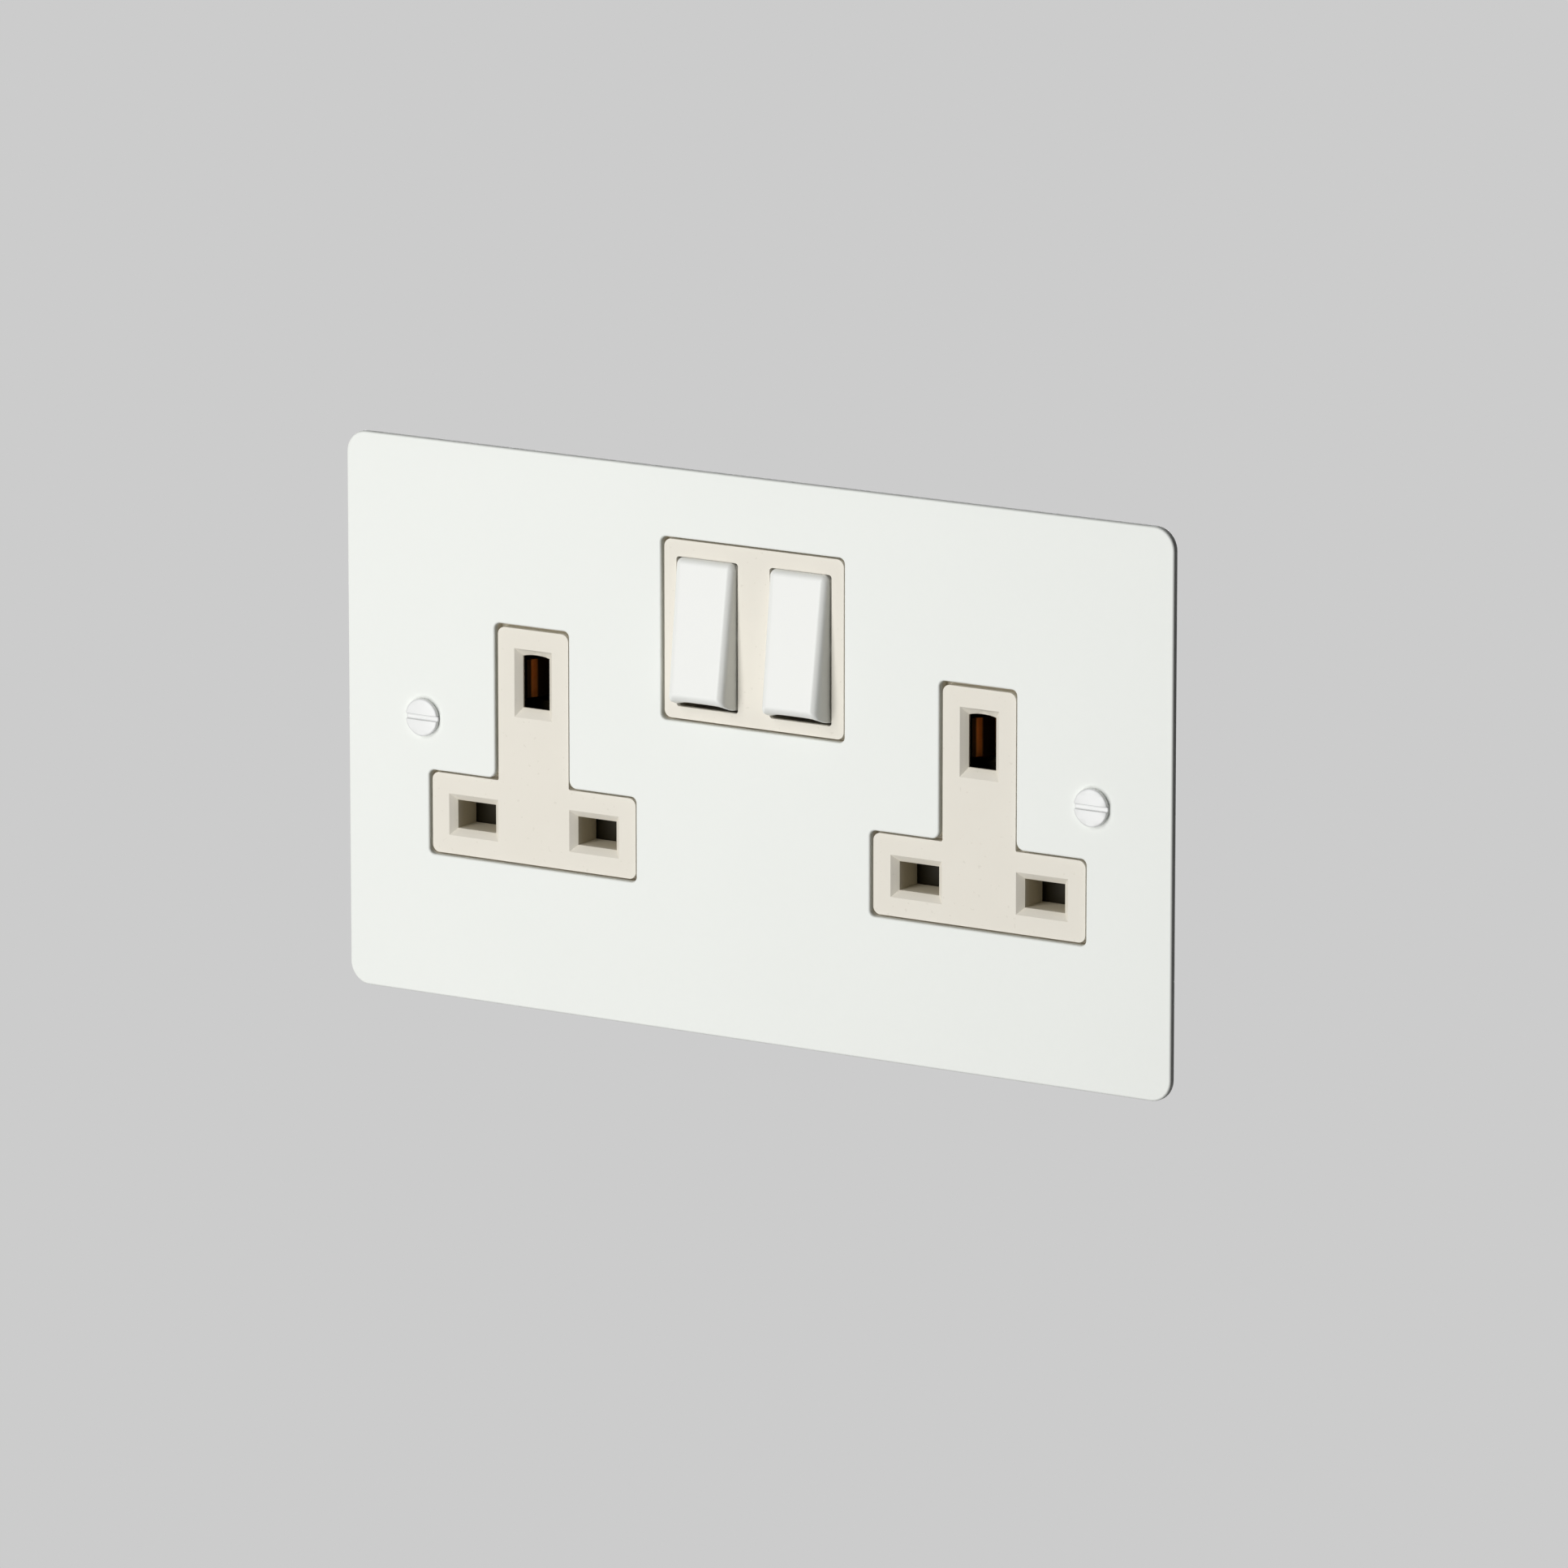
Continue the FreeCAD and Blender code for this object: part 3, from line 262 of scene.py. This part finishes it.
class Finish:
    """A procedural material or world, laid out on the piece's own coordinates in metres."""

    def __init__(self, owner):
        self.owner = owner
        owner.use_nodes = True
        self.tree = owner.node_tree
        self.tree.nodes.clear()
        self.place = self.node("ShaderNodeTexCoord", {}, {}, "Object")

    def node(self, kind, settings, sockets, output=0):
        """Adds one node: its settings first, then the values or wires of its sockets."""
        made = self.tree.nodes.new(kind)
        for key, value in settings.items():
            setattr(made, key, value)
        for key, value in sockets.items():
            if isinstance(value, Wire):
                self.tree.links.new(value.socket, made.inputs[key])
            else:
                made.inputs[key].default_value = value
        return Wire(self, made.outputs[output]) if made.outputs else None

    def sum(self, operation, one, other):
        return self.node("ShaderNodeMath", {"operation": operation}, {0: one, 1: other})

    def along(self, axis):
        """One coordinate of the place on the piece."""
        return self.node("ShaderNodeSeparateXYZ", {}, {"Vector": self.place}, axis)

    def grain(self, size, detail=2.0, stretch=(1, 1, 1)):
        """Noise from 0 to 1 whose features have a size in millimetres."""
        place = self.node("ShaderNodeMapping", {}, {"Vector": self.place, "Scale": stretch})
        sockets = {"Vector": place, "Scale": 1 / (size * MM), "Detail": detail}
        return self.node("ShaderNodeTexNoise", {}, sockets)

    def ramp(self, value, low, high):
        """Smooth step from 0 to 1 as a value goes from low to high."""
        sockets = {"Value": value, "From Min": low, "From Max": high}
        return self.node("ShaderNodeMapRange", {"interpolation_type": "SMOOTHSTEP"}, sockets)

    def band(self, value, rise, full, fall, end):
        """Smooth step up between the first two limits, and down again between the last two."""
        return self.ramp(value, rise, full) * (1 - self.ramp(value, fall, end))

    def blend(self, amount, one, other):
        """Colour that goes from one to the other as the amount rises."""
        colours = [shade if isinstance(shade, Wire) else (*shade, 1.0) for shade in (one, other)]
        return self.node("ShaderNodeMix", {"data_type": "RGBA"}, {0: amount, 6: colours[0], 7: colours[1]}, 2)

    def relief(self, height, depth):
        """Surface normal of a height from 0 to 1, with its depth in millimetres."""
        return self.node("ShaderNodeBump", {}, {"Height": height, "Distance": depth * MM})

    def paint(self, sockets):
        """Ends a material with one principled surface."""
        shader = self.node("ShaderNodeBsdfPrincipled", {}, sockets)
        self.node("ShaderNodeOutputMaterial", {}, {"Surface": shader})
        return self.owner


def material(name):
    """A new, empty finish."""
    return Finish(bpy.data.materials.new(name))


def powder_coat():
    """Satin white powder coat with a faint orange peel."""
    coat = material("powder_coat_white")
    tone = coat.blend(coat.grain(30), (0.852, 0.872, 0.832), (0.868, 0.888, 0.848))
    return coat.paint({
        "Base Color": tone,
        "Roughness": coat.grain(0.4) * 0.12 + 0.42,
        "Normal": coat.relief(coat.grain(0.8, 3.0), 0.003),
    })


def cream_plastic():
    """Cream moulded plastic with a fine spark texture, a few faint specks, and painted shade that darkens it
    further back in the apertures.
    """
    cream = material("cream_plastic")
    tone = cream.blend(cream.grain(9), (0.782, 0.743, 0.652), (0.806, 0.768, 0.678))
    specks = cream.ramp(cream.grain(0.7, 1.0), 0.7, 0.78)
    tone = cream.blend(specks * 0.5, tone, (0.68, 0.64, 0.55))
    # Painted shade: the cream turns darker and browner the further back it lies, standing in for the shade
    # down in the apertures and gaps
    deep = cream.ramp(cream.along("Y"), CREAM_PAINTED_SHADE_DEPTHS[0] * MM, CREAM_PAINTED_SHADE_DEPTHS[1] * MM)
    tone = cream.blend(deep, tone, (0.64, 0.58, 0.45))
    return cream.paint({
        "Base Color": tone,
        "Roughness": cream.grain(0.3) * 0.14 + 0.44,
        "Normal": cream.relief(cream.grain(0.12, 3.0), 0.002),
    })


def rocker_plastic():
    """White moulded plastic, smoother than the plate."""
    white = material("rocker_white_plastic")
    tone = white.blend(white.grain(7), (0.868, 0.876, 0.842), (0.88, 0.888, 0.856))
    return white.paint({
        "Base Color": tone,
        "Roughness": white.grain(0.5) * 0.08 + 0.3,
        "Normal": white.relief(white.grain(0.5, 2.0), 0.001),
    })


def screw_paint():
    """Gloss white paint on a zinc-plated screw, ending just behind the head, with painted shade round the
    head's rim and along the slot's edges.
    """
    paint = material("white_screw_paint")
    bare = paint.ramp(paint.along("Y"), PAINT_END[0] * MM, PAINT_END[1] * MM)
    tone = paint.blend(paint.grain(3), (0.87, 0.877, 0.862), (0.884, 0.891, 0.876))
    aside = paint.sum("ABSOLUTE", paint.along("X"), 0) * (1 / MM) - FIX_X
    up = paint.sum("ABSOLUTE", paint.along("Z"), 0) * (1 / MM)
    radius = paint.sum("SQRT", aside * aside + up * up, 0)
    # Painted shade: a darker ring just inside the head's rim and dark lines along both slot edges stand in
    # for the shade there, heavier on the upper edge
    rim = paint.band(radius, *(HEAD_R - inwards for inwards in RIM_PAINTED_SHADE_BAND), HEAD_R)
    slot = paint.band(up, SLOT_HALF - SLOT_PAINTED_SHADE_BAND, SLOT_HALF, SLOT_HALF, SLOT_HALF + SLOT_PAINTED_SHADE_BAND)
    upper = paint.ramp(paint.along("Z"), -SLOT_MIDDLE * MM, SLOT_MIDDLE * MM)
    shade = rim * RIM_PAINTED_SHADE | slot * (upper * SLOT_UPPER_PAINTED_SHADE + SLOT_PAINTED_SHADE)
    tone = paint.blend(shade, tone, (0.42, 0.43, 0.43))
    zinc = paint.blend(paint.grain(0.6), (0.56, 0.57, 0.58), (0.7, 0.7, 0.69))
    return paint.paint({
        "Base Color": paint.blend(bare, tone, zinc),
        "Metallic": bare,
        "Roughness": bare * 0.08 + paint.grain(0.5) * 0.06 + 0.28,
        "Normal": paint.relief(paint.grain(0.7), 0.002),
    })


def housing_plastic():
    """Charcoal moulded plastic with a matt eroded texture and soft flow marks."""
    dark = material("charcoal_housing_plastic")
    flow = dark.grain(14, 3.0, (1, 1, 0.35))
    tone = dark.blend(flow, (0.038, 0.038, 0.041), (0.056, 0.056, 0.059))
    return dark.paint({
        "Base Color": tone,
        "Roughness": flow * 0.12 + dark.grain(0.3) * 0.1 + 0.42,
        "Normal": dark.relief(dark.grain(0.22, 3.0), 0.008),
    })


def shutter_plastic():
    """Near-black shutter plastic, polished where the pins rub it."""
    dark = material("charcoal_shutter_plastic")
    tone = dark.blend(dark.grain(3), (0.012, 0.009, 0.003), (0.02, 0.016, 0.007))
    return dark.paint({
        "Base Color": tone,
        "Specular IOR Level": 0.12,
        "Roughness": dark.grain(0.8, 2.0, (1, 1, 0.2)) * 0.2 + 0.34,
        "Normal": dark.relief(dark.grain(0.2), 0.003),
    })


def rolled_metal(name, pale, deep, stretch, lips=(), rough=0.22):
    """Rolled strip with fine lines along it and a slow change of tarnish.

    With lips, its front edges are dark but for the band that the pins wipe.
    """
    strip = material(name)
    lines = strip.grain(0.12, 2.0, stretch)
    tarnish = strip.ramp(strip.grain(4, 3.0), 0.35, 0.75)
    tone = strip.blend(tarnish, pale, deep)
    if lips:
        depth = strip.along("Y") * (1 / MM)
        bright = strip.band(depth, *lips[:4]) | strip.ramp(depth, *lips[4:])
        tone = strip.blend(bright, LIP_TARNISH, tone)
    return strip.paint({
        "Base Color": tone,
        "Metallic": 1.0,
        "Roughness": lines * 0.16 + tarnish * 0.08 + rough,
        "Normal": strip.relief(lines, 0.002),
    })


def zinc_plate():
    """Bright zinc plate with a faint spangle."""
    zinc = material("zinc_plate")
    spangle = zinc.grain(0.7, 3.0)
    return zinc.paint({
        "Base Color": zinc.blend(spangle, (0.54, 0.55, 0.57), (0.72, 0.71, 0.68)),
        "Metallic": 1.0,
        "Roughness": spangle * 0.14 + 0.24,
        "Normal": zinc.relief(zinc.grain(0.15), 0.002),
    })


def natural_nylon():
    """Off-white nylon, waxy."""
    nylon = material("natural_nylon")
    return nylon.paint({
        "Base Color": nylon.blend(nylon.grain(2), (0.72, 0.7, 0.63), (0.78, 0.76, 0.7)),
        "Roughness": nylon.grain(0.4) * 0.1 + 0.34,
        "Normal": nylon.relief(nylon.grain(0.2), 0.002),
    })


FINISHES = {
    "plate_white": powder_coat(),
    "insert_cream": cream_plastic(),
    "housing_charcoal": housing_plastic(),
    "screw_white": screw_paint(),
    "zinc_steel": zinc_plate(),
    "rocker_white": rocker_plastic(),
    "shutter_charcoal": shutter_plastic(),
    "plunger_nylon": natural_nylon(),
    "spring_steel": rolled_metal("drawn_spring_wire", (0.5, 0.5, 0.5), (0.34, 0.33, 0.32), (1, 1, 1)),
    "contact_brass": rolled_metal(
        "rolled_contact_bronze", (0.9, 0.4, 0.1), (0.72, 0.26, 0.05), (0.1, 1, 1), lips=WIPED, rough=0.42,
    ),
    "terminal_brass": rolled_metal("machined_brass", (0.83, 0.65, 0.33), (0.68, 0.48, 0.2), (1, 1, 0.1)),
}


def merged(node):
    """Copy of a node's mesh as a closed skin with whole flat faces."""
    skin = bmesh.new()
    skin.from_mesh(frame["nodes"][node].data)
    bmesh.ops.remove_doubles(skin, verts=skin.verts, dist=MERGE)
    bmesh.ops.dissolve_limit(skin, angle_limit=FLAT, verts=skin.verts, edges=skin.edges, delimit={"NORMAL"})
    return skin


def soften(skin, width, chosen=lambda edge: True):
    """Rounds the chosen sharp edges of a skin, and merges what that leaves without a width."""
    sharp = [edge for edge in skin.edges if edge.calc_face_angle() > SHARP and chosen(edge)]
    bmesh.ops.bevel(
        skin, geom=sharp, offset=width * MM, offset_type="OFFSET", affect="EDGES",
        segments=EDGE_STEPS, profile=0.5, material=-1, clamp_overlap=True,
    )
    bmesh.ops.remove_doubles(skin, verts=skin.verts, dist=MERGE)


def finished(name, skin, node):
    """Piece made of a skin, on a node's body and with its finish."""
    for face in skin.faces:
        face.smooth = True
    for edge in skin.edges:
        edge.smooth = edge.calc_face_angle(0) < SHARP
    mesh = bpy.data.meshes.new(name)
    skin.to_mesh(mesh)
    skin.free()
    piece = bpy.data.objects.new(name, mesh)
    bpy.context.scene.collection.objects.link(piece)
    mesh.materials.append(FINISHES[SLOT_OF[node]])
    even = piece.modifiers.new("even_shading", "WEIGHTED_NORMAL")
    even.keep_sharp = True
    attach(piece, BODY_OF[node])
    return piece


def cutout_corners():
    """Each outer corner of the cut-outs with its way inwards, and each inner corner of the T shapes."""
    outer = []
    inner = []
    for side in (-1, 1):
        outer += [(side * WINDOW_HALF, WINDOW_LOW, -side, 1), (side * WINDOW_HALF, WINDOW_TOP, -side, -1)]
        for x in (-OUTLET_X, OUTLET_X):
            outer += [(x + side * BAR_HALF, BAR_LOW, -side, 1), (x + side * BAR_HALF, SHOULDER, -side, -1)]
            outer.append((x + side * STEM_HALF, STEM_TOP, -side, -1))
            inner.append((x + side * STEM_HALF, SHOULDER, -side, -1))
    return outer, inner


def tighten(skin, corners, gap, radius, real_gap, real_radius, spread):
    """Draws rounded corners of an outline out to a smaller gap and radius."""
    for x, z, in_x, in_z in corners:
        for vert in skin.verts:
            across = (vert.co.x / MM - x) * in_x - gap - radius
            up = (vert.co.z / MM - z) * in_z - gap - radius
            reach = math.hypot(across, up)
            if max(across, up) < SLACK and -SLACK < reach - radius < spread:
                share = (reach - radius + real_radius) / reach
                vert.co.x = (x + in_x * (real_gap + real_radius + across * share)) * MM
                vert.co.z = (z + in_z * (real_gap + real_radius + up * share)) * MM


def real_cutouts(plate):
    """Gives a copy of the plate the tight corners of the real cut-outs."""
    tighten(plate, cutout_corners()[0], 0, CUTOUT_R, 0, REAL_CUTOUT_R, LIP_R + SLACK)


def on_stem_top(x, z):
    """Whether a point is on the top edge or the top corners of a tightened stem."""
    aside = abs(abs(x) - OUTLET_X)
    corner = STEM_HALF - REAL_GAP - REAL_BOSS_R
    base = STEM_TOP - REAL_GAP - REAL_BOSS_R
    if z < base - SLACK:
        return False
    return abs(math.hypot(max(aside - corner, 0), z - base) - REAL_BOSS_R) < SLACK


def real_bosses(moulding):
    """Gives a copy of the moulding tight bosses and grooves, lower stem tops, and the real earth necks."""
    outer, inner = cutout_corners()
    tighten(moulding, outer, 0, CUTOUT_R, 0, REAL_CUTOUT_R, SLACK)
    tighten(moulding, outer, BOSS_GAP, BOSS_R, REAL_GAP, REAL_BOSS_R, SLACK)
    closer = BOSS_GAP - REAL_GAP
    for vert in moulding.verts:
        x, y, z = vert.co / MM
        for corner_x, corner_z, in_x, in_z in inner:
            beside = ((x - corner_x) * in_x, (z - corner_z) * in_z)
            if min(beside) > INNER_START and max(beside) < BOSS_GAP + SLACK:
                vert.co += Vector((-in_x * closer, 0, -in_z * closer)) * MM
        if on_stem_top(x, z):
            vert.co.z -= REAL_TOP_DROP * MM
        above = z - EARTH_Z
        in_neck = abs(abs(x) - OUTLET_X) < NECK_HALF[0] and NECK_DEPTHS[0] < y < NECK_DEPTHS[1]
        if in_neck and NECK_HALF[1] - SLACK < above < NECK_HALF[1] + NECK_ARCH + SLACK:
            vert.co.z -= (NECK_DROP + (above - NECK_HALF[1]) * NECK_FLATTEN) * MM
        if in_neck and abs(above + NECK_HALF[1]) < SLACK:
            vert.co.z += NECK_LIFT * MM


def real_cap(rocker, side):
    """Gives a copy of a rocker its draft, ends that follow the swing, and a hollow lower end."""
    pivot = Vector((PIVOT.x * side, PIVOT.y, PIVOT.z)) * MM
    level = Matrix.Rotation(-REST_TILT, 3, "X")
    bmesh.ops.translate(rocker, verts=rocker.verts, vec=-pivot)
    bmesh.ops.rotate(rocker, verts=rocker.verts, cent=(0, 0, 0), matrix=level)
    cuts = [((0, depth * MM, 0), (0, 1, 0)) for depth in (CAP_BASE, CAP_BASE / 2, 0)]
    for slice_number in range(1, CAP_SLICES):
        across = CAP_HALF_W * (2 * slice_number / CAP_SLICES - 1)
        cuts.append(((across * MM, 0, 0), (1, 0, 0)))
    for place, normal in cuts:
        geom = rocker.verts[:] + rocker.edges[:] + rocker.faces[:]
        bmesh.ops.bisect_plane(rocker, geom=geom, plane_co=place, plane_no=normal, dist=MERGE)
    for vert in rocker.verts:
        vert.co = cap_place(vert.co / MM) * MM
    bmesh.ops.rotate(rocker, verts=rocker.verts, cent=(0, 0, 0), matrix=level.inverted())
    bmesh.ops.translate(rocker, verts=rocker.verts, vec=pivot)


def cap_place(place):
    """Where a point of the level, square rocker lies on the real one, in millimetres from its pivot."""
    x, y, z = place
    proud = min(max((CAP_BASE - y) / (CAP_BASE - CAP_FRONT), 0), 1)
    round_x = abs(x) - (CAP_HALF_W - CAP_EDGE)
    round_z = -z - (CAP_HALF_H - CAP_EDGE)
    if min(round_x, round_z) > 0:
        share = min((y - CAP_FRONT) / CAP_EDGE, 1) * (1 - CAP_CORNER / CAP_EDGE)
        x += math.copysign((CAP_EDGE - round_x) * share, x)
        z -= (CAP_EDGE - round_z) * share
    end = min(max((abs(z) - CAP_END_START) / (CAP_HALF_H - CAP_END_START), 0), 1)
    out = max(CAP_BASE - y * math.cos(REST_TILT) + z * math.sin(REST_TILT), 0)
    lower = min(max(-z / CAP_HALF_H, 0), 1)
    if z > 0:
        z += end * (CAP_TOP - CAP_HALF_H)
    else:
        hollow = CAP_HOLLOW * (1 - (x / CAP_HALF_W)**CAP_HOLLOW_POWER) * (1 - proud * (1 - CAP_HOLLOW_FRONT))
        z -= end * (math.sqrt(CAP_SWING_R**2 - y**2) - CAP_HALF_H + CAP_DROP * (1 - proud) - hollow)
    x *= 1 - CAP_DRAFT * out / CAP_HALF_W
    return Vector((x, y - proud * lower * CAP_MORE, z))


def edge_width(node):
    """Edge width of a node, by its own name or by what it is on either side."""
    kind = node.split("_", 1)[1]
    return EDGE.get(node, EDGE.get(kind, 0))


def softened_pieces():
    """A finished skin for every node but the springs and the fixing screws."""
    for node in sorted(frame["nodes"]):
        if node.endswith("_spring") or node == "fixing_screws":
            continue
        skin = merged(node)
        if node == "front_plate":
            real_cutouts(skin)
        elif node == "front_moulding":
            real_bosses(skin)
        elif node.endswith("_rocker"):
            real_cap(skin, -1 if node.startswith("left") else 1)
        if edge_width(node):
            soften(skin, edge_width(node))
        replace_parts(finished(f"{node}_skin", skin, node), node)


def wound_wire(node, axis):
    """Round-wire coil in place of a node's square-wire one, and its two ends along the axis."""
    turns, wire = SPRING_WIRE[node.split("_", 1)[1]]
    across = Vector((1, 0, 0))
    beside = axis.cross(across)
    points = [vert.co for vert in frame["nodes"][node].data.vertices]
    lows = [min(point.dot(way) for point in points) for way in (across, beside, axis)]
    highs = [max(point.dot(way) for point in points) for way in (across, beside, axis)]
    half = wire * MM / 2
    radius = (highs[0] - lows[0]) / 2 - half
    middle = across * (lows[0] + highs[0]) / 2 + beside * (lows[1] + highs[1]) / 2
    steps = turns * COIL_STEPS
    rise = axis * ((highs[2] - lows[2] - wire * MM) / steps)
    section = Matrix((across, axis, beside)).transposed().to_4x4()
    place = Matrix.Translation(middle + across * radius + axis * (lows[2] + half))
    skin = bmesh.new()
    bmesh.ops.create_circle(skin, cap_ends=True, radius=half, segments=WIRE_SIDES, matrix=place @ section)
    bmesh.ops.spin(
        skin, geom=skin.verts[:] + skin.edges[:] + skin.faces[:], cent=middle, axis=axis, dvec=rise,
        angle=math.tau * turns, steps=steps, use_merge=False,
    )
    bmesh.ops.recalc_face_normals(skin, faces=skin.faces)
    return skin, lows[2], highs[2]


def springs():
    """Wound springs, each a round-wire coil in place of its node's square-wire one."""
    for joint in frame["record"]["behaviour"]["joints"]:
        for pressed in joint.get("deforming_nodes", []):
            node = pressed["node"]
            axis = Vector(joint["axis"]).normalized()
            skin, free_end, fixed_end = wound_wire(node, axis)
            piece = finished(f"{node}_skin", skin, node)
            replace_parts(piece, node)
            keep = 1 - joint["range_m"][1] / (fixed_end - free_end)
            axis * fixed_end
            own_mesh(piece)


def cut_and_close(skin, y, keep_front):
    """Cuts a skin square across the depth and closes the cut."""
    geom = skin.verts[:] + skin.edges[:] + skin.faces[:]
    bmesh.ops.bisect_plane(
        skin, geom=geom, plane_co=(0, y, 0), plane_no=(0, 1, 0), dist=MERGE,
        clear_outer=keep_front, clear_inner=not keep_front,
    )
    rim = [
        edge for edge in skin.edges
        if edge.is_boundary and all(abs(vert.co.y - y) < MERGE for vert in edge.verts)
    ]
    bmesh.ops.holes_fill(skin, edges=rim)


def threaded_shank(x, front, back):
    """Closed threaded rod along the depth."""
    rod = bmesh.new()
    turns = math.ceil((back - front) / THREAD_PITCH) + 2
    start = front - THREAD_PITCH
    root = THREAD_R - THREAD_DEPTH
    crest, crest_end = THREAD_CREST
    tooth = ((0, root), (THREAD_ROOT_END, root), (crest, THREAD_R), (crest_end, THREAD_R), (1, root))
    line = [rod.verts.new(((x + r) * MM, (start + share * THREAD_PITCH) * MM, 0)) for share, r in tooth]
    geom = line + [rod.edges.new(pair) for pair in zip(line, line[1:])]
    bmesh.ops.spin(
        rod, geom=geom, cent=(x * MM, 0, 0), axis=(0, 1, 0), dvec=(0, THREAD_PITCH / THREAD_STEPS * MM, 0),
        angle=math.tau * turns, steps=THREAD_STEPS * turns, use_merge=False,
    )
    bmesh.ops.remove_doubles(rod, verts=rod.verts, dist=MERGE)
    cut_and_close(rod, back * MM, True)
    cut_and_close(rod, front * MM, False)
    bmesh.ops.recalc_face_normals(rod, faces=rod.faces)
    return rod


def join(skin, other):
    """Adds another skin to a skin."""
    mesh = bpy.data.meshes.new("joined")
    other.to_mesh(mesh)
    other.free()
    skin.from_mesh(mesh)
    bpy.data.meshes.remove(mesh)


def head_rim(edge):
    """Whether an edge runs round the front of a fixing screw's head."""
    return all(
        vert.co.y < HEAD_RIM_Y * MM
        and math.hypot(abs(vert.co.x) - FIX_X * MM, vert.co.z) > (HEAD_R - SLACK) * MM
        for vert in edge.verts
    )


def fixing_screws():
    """Both fixing screws: head and tip of the solid, with a thread between them."""
    tip_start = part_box("fixing_screws")[1].y / MM - TIP_L
    skin = merged("fixing_screws")
    soften(skin, HEAD_EDGE, head_rim)
    soften(skin, EDGE["fixing_screws"])
    cut_and_close(skin, THREAD_START * MM, True)
    tips = merged("fixing_screws")
    cut_and_close(tips, tip_start * MM, False)
    join(skin, tips)
    for x in (-FIX_X, FIX_X):
        join(skin, threaded_shank(x, THREAD_START, tip_start))
    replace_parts(finished("fixing_screws_skin", skin, "fixing_screws"), "fixing_screws")


def terminal_mark(name, across, outlines):
    """Raised mark on the rear of the housing, above its terminal."""
    mark = bmesh.new()
    base = REAR_Y - MARK_SINK
    for corners in outlines:
        ring = [mark.verts.new(Vector((across - right, base, MARK_Z + up)) * MM) for right, up in corners]
        raised = bmesh.ops.extrude_face_region(mark, geom=[mark.faces.new(ring)])["geom"]
        tops = [part for part in raised if isinstance(part, bmesh.types.BMVert)]
        bmesh.ops.translate(mark, verts=tops, vec=(0, (MARK_SINK + MARK_H) * MM, 0))
    bmesh.ops.recalc_face_normals(mark, faces=mark.faces)
    soften(mark, MARK_EDGE)
    finished(name, mark, "rear_housing")


def aim(thing, place, target):
    """Puts a lamp or camera at a place, looking at a target."""
    thing.location = place
    thing.rotation_euler = (target - place).to_track_quat("-Z", "Y").to_euler()


def lamp(name, direction, distance, size, power):
    """Oblong soft lamp that looks at the plate and isn't seen itself."""
    data = bpy.data.lights.new(name, "AREA")
    data.shape = "RECTANGLE"
    data.size, data.size_y = size
    data.energy = power
    soft = bpy.data.objects.new(name, data)
    soft.visible_camera = False
    bpy.context.scene.collection.objects.link(soft)
    aim(soft, direction.normalized() * distance, Vector((0, 0, 0)))


def ground():
    """World: the photograph's grey where it is seen, and little light from all round."""
    grey = Finish(bpy.data.worlds.new("plain_grey_ground"))
    kinds = ("Camera", "Glossy", "Transmission")
    direct, glossy, through = (grey.node("ShaderNodeLightPath", {}, {}, f"Is {kind} Ray") for kind in kinds)
    seen = direct | glossy | through
    strength = seen * (GROUND_GREY - AMBIENT) + AMBIENT
    light = grey.node("ShaderNodeBackground", {}, {"Color": (1, 1, 1, 1), "Strength": strength})
    grey.node("ShaderNodeOutputWorld", {}, {"Surface": light})
    bpy.context.scene.world = grey.owner


def floor():
    """Pale floor well below the socket, which fades into the ground."""
    disc = bmesh.new()
    bmesh.ops.create_circle(disc, cap_ends=True, radius=FLOOR_R, segments=FLOOR_SIDES)
    bmesh.ops.translate(disc, verts=disc.verts, vec=(0, 0, FLOOR_Z))
    mesh = bpy.data.meshes.new("pale_floor")
    disc.to_mesh(mesh)
    disc.free()
    pale = material("pale_floor")
    flat = pale.node("ShaderNodeMapping", {}, {"Vector": pale.place, "Scale": (1, 1, 0)})
    radius = pale.node("ShaderNodeVectorMath", {"operation": "LENGTH"}, {0: flat}, "Value")
    clear = pale.node("ShaderNodeBsdfTransparent", {}, {})
    matt = pale.node("ShaderNodeBsdfDiffuse", {}, {"Color": (*FLOOR_GREY, 1)})
    fade = pale.ramp(radius, FLOOR_SOLID_R, FLOOR_R)
    mixed = pale.node("ShaderNodeMixShader", {}, {0: fade, 1: matt, 2: clear})
    pale.node("ShaderNodeOutputMaterial", {}, {"Surface": mixed})
    mesh.materials.append(pale.owner)
    piece = bpy.data.objects.new("pale_floor", mesh)
    bpy.context.scene.collection.objects.link(piece)


def camera():
    """Camera at the photograph's viewing angle."""
    data = bpy.data.cameras.new("camera")
    data.lens = LENS
    data.sensor_width = SENSOR
    eye = bpy.data.objects.new("camera", data)
    bpy.context.scene.collection.objects.link(eye)
    level = math.cos(VIEW_RISE)
    away = Vector((math.sin(VIEW_TURN) * level, -math.cos(VIEW_TURN) * level, math.sin(VIEW_RISE)))
    aim(eye, VIEW_TARGET + away * VIEW_DISTANCE, VIEW_TARGET)
    bpy.context.scene.camera = eye


softened_pieces()
springs()
fixing_screws()
for mark_name, (mark_x, mark_outlines) in MARKS.items():
    terminal_mark(mark_name, mark_x, mark_outlines)
ground()
floor()
lamp("key", KEY_FROM, KEY_DISTANCE, KEY_SIZE, KEY_POWER)
lamp("rear", REAR_FROM, REAR_DISTANCE, REAR_SIZE, REAR_POWER)
camera()
bpy.context.scene.view_settings.view_transform = "Standard"
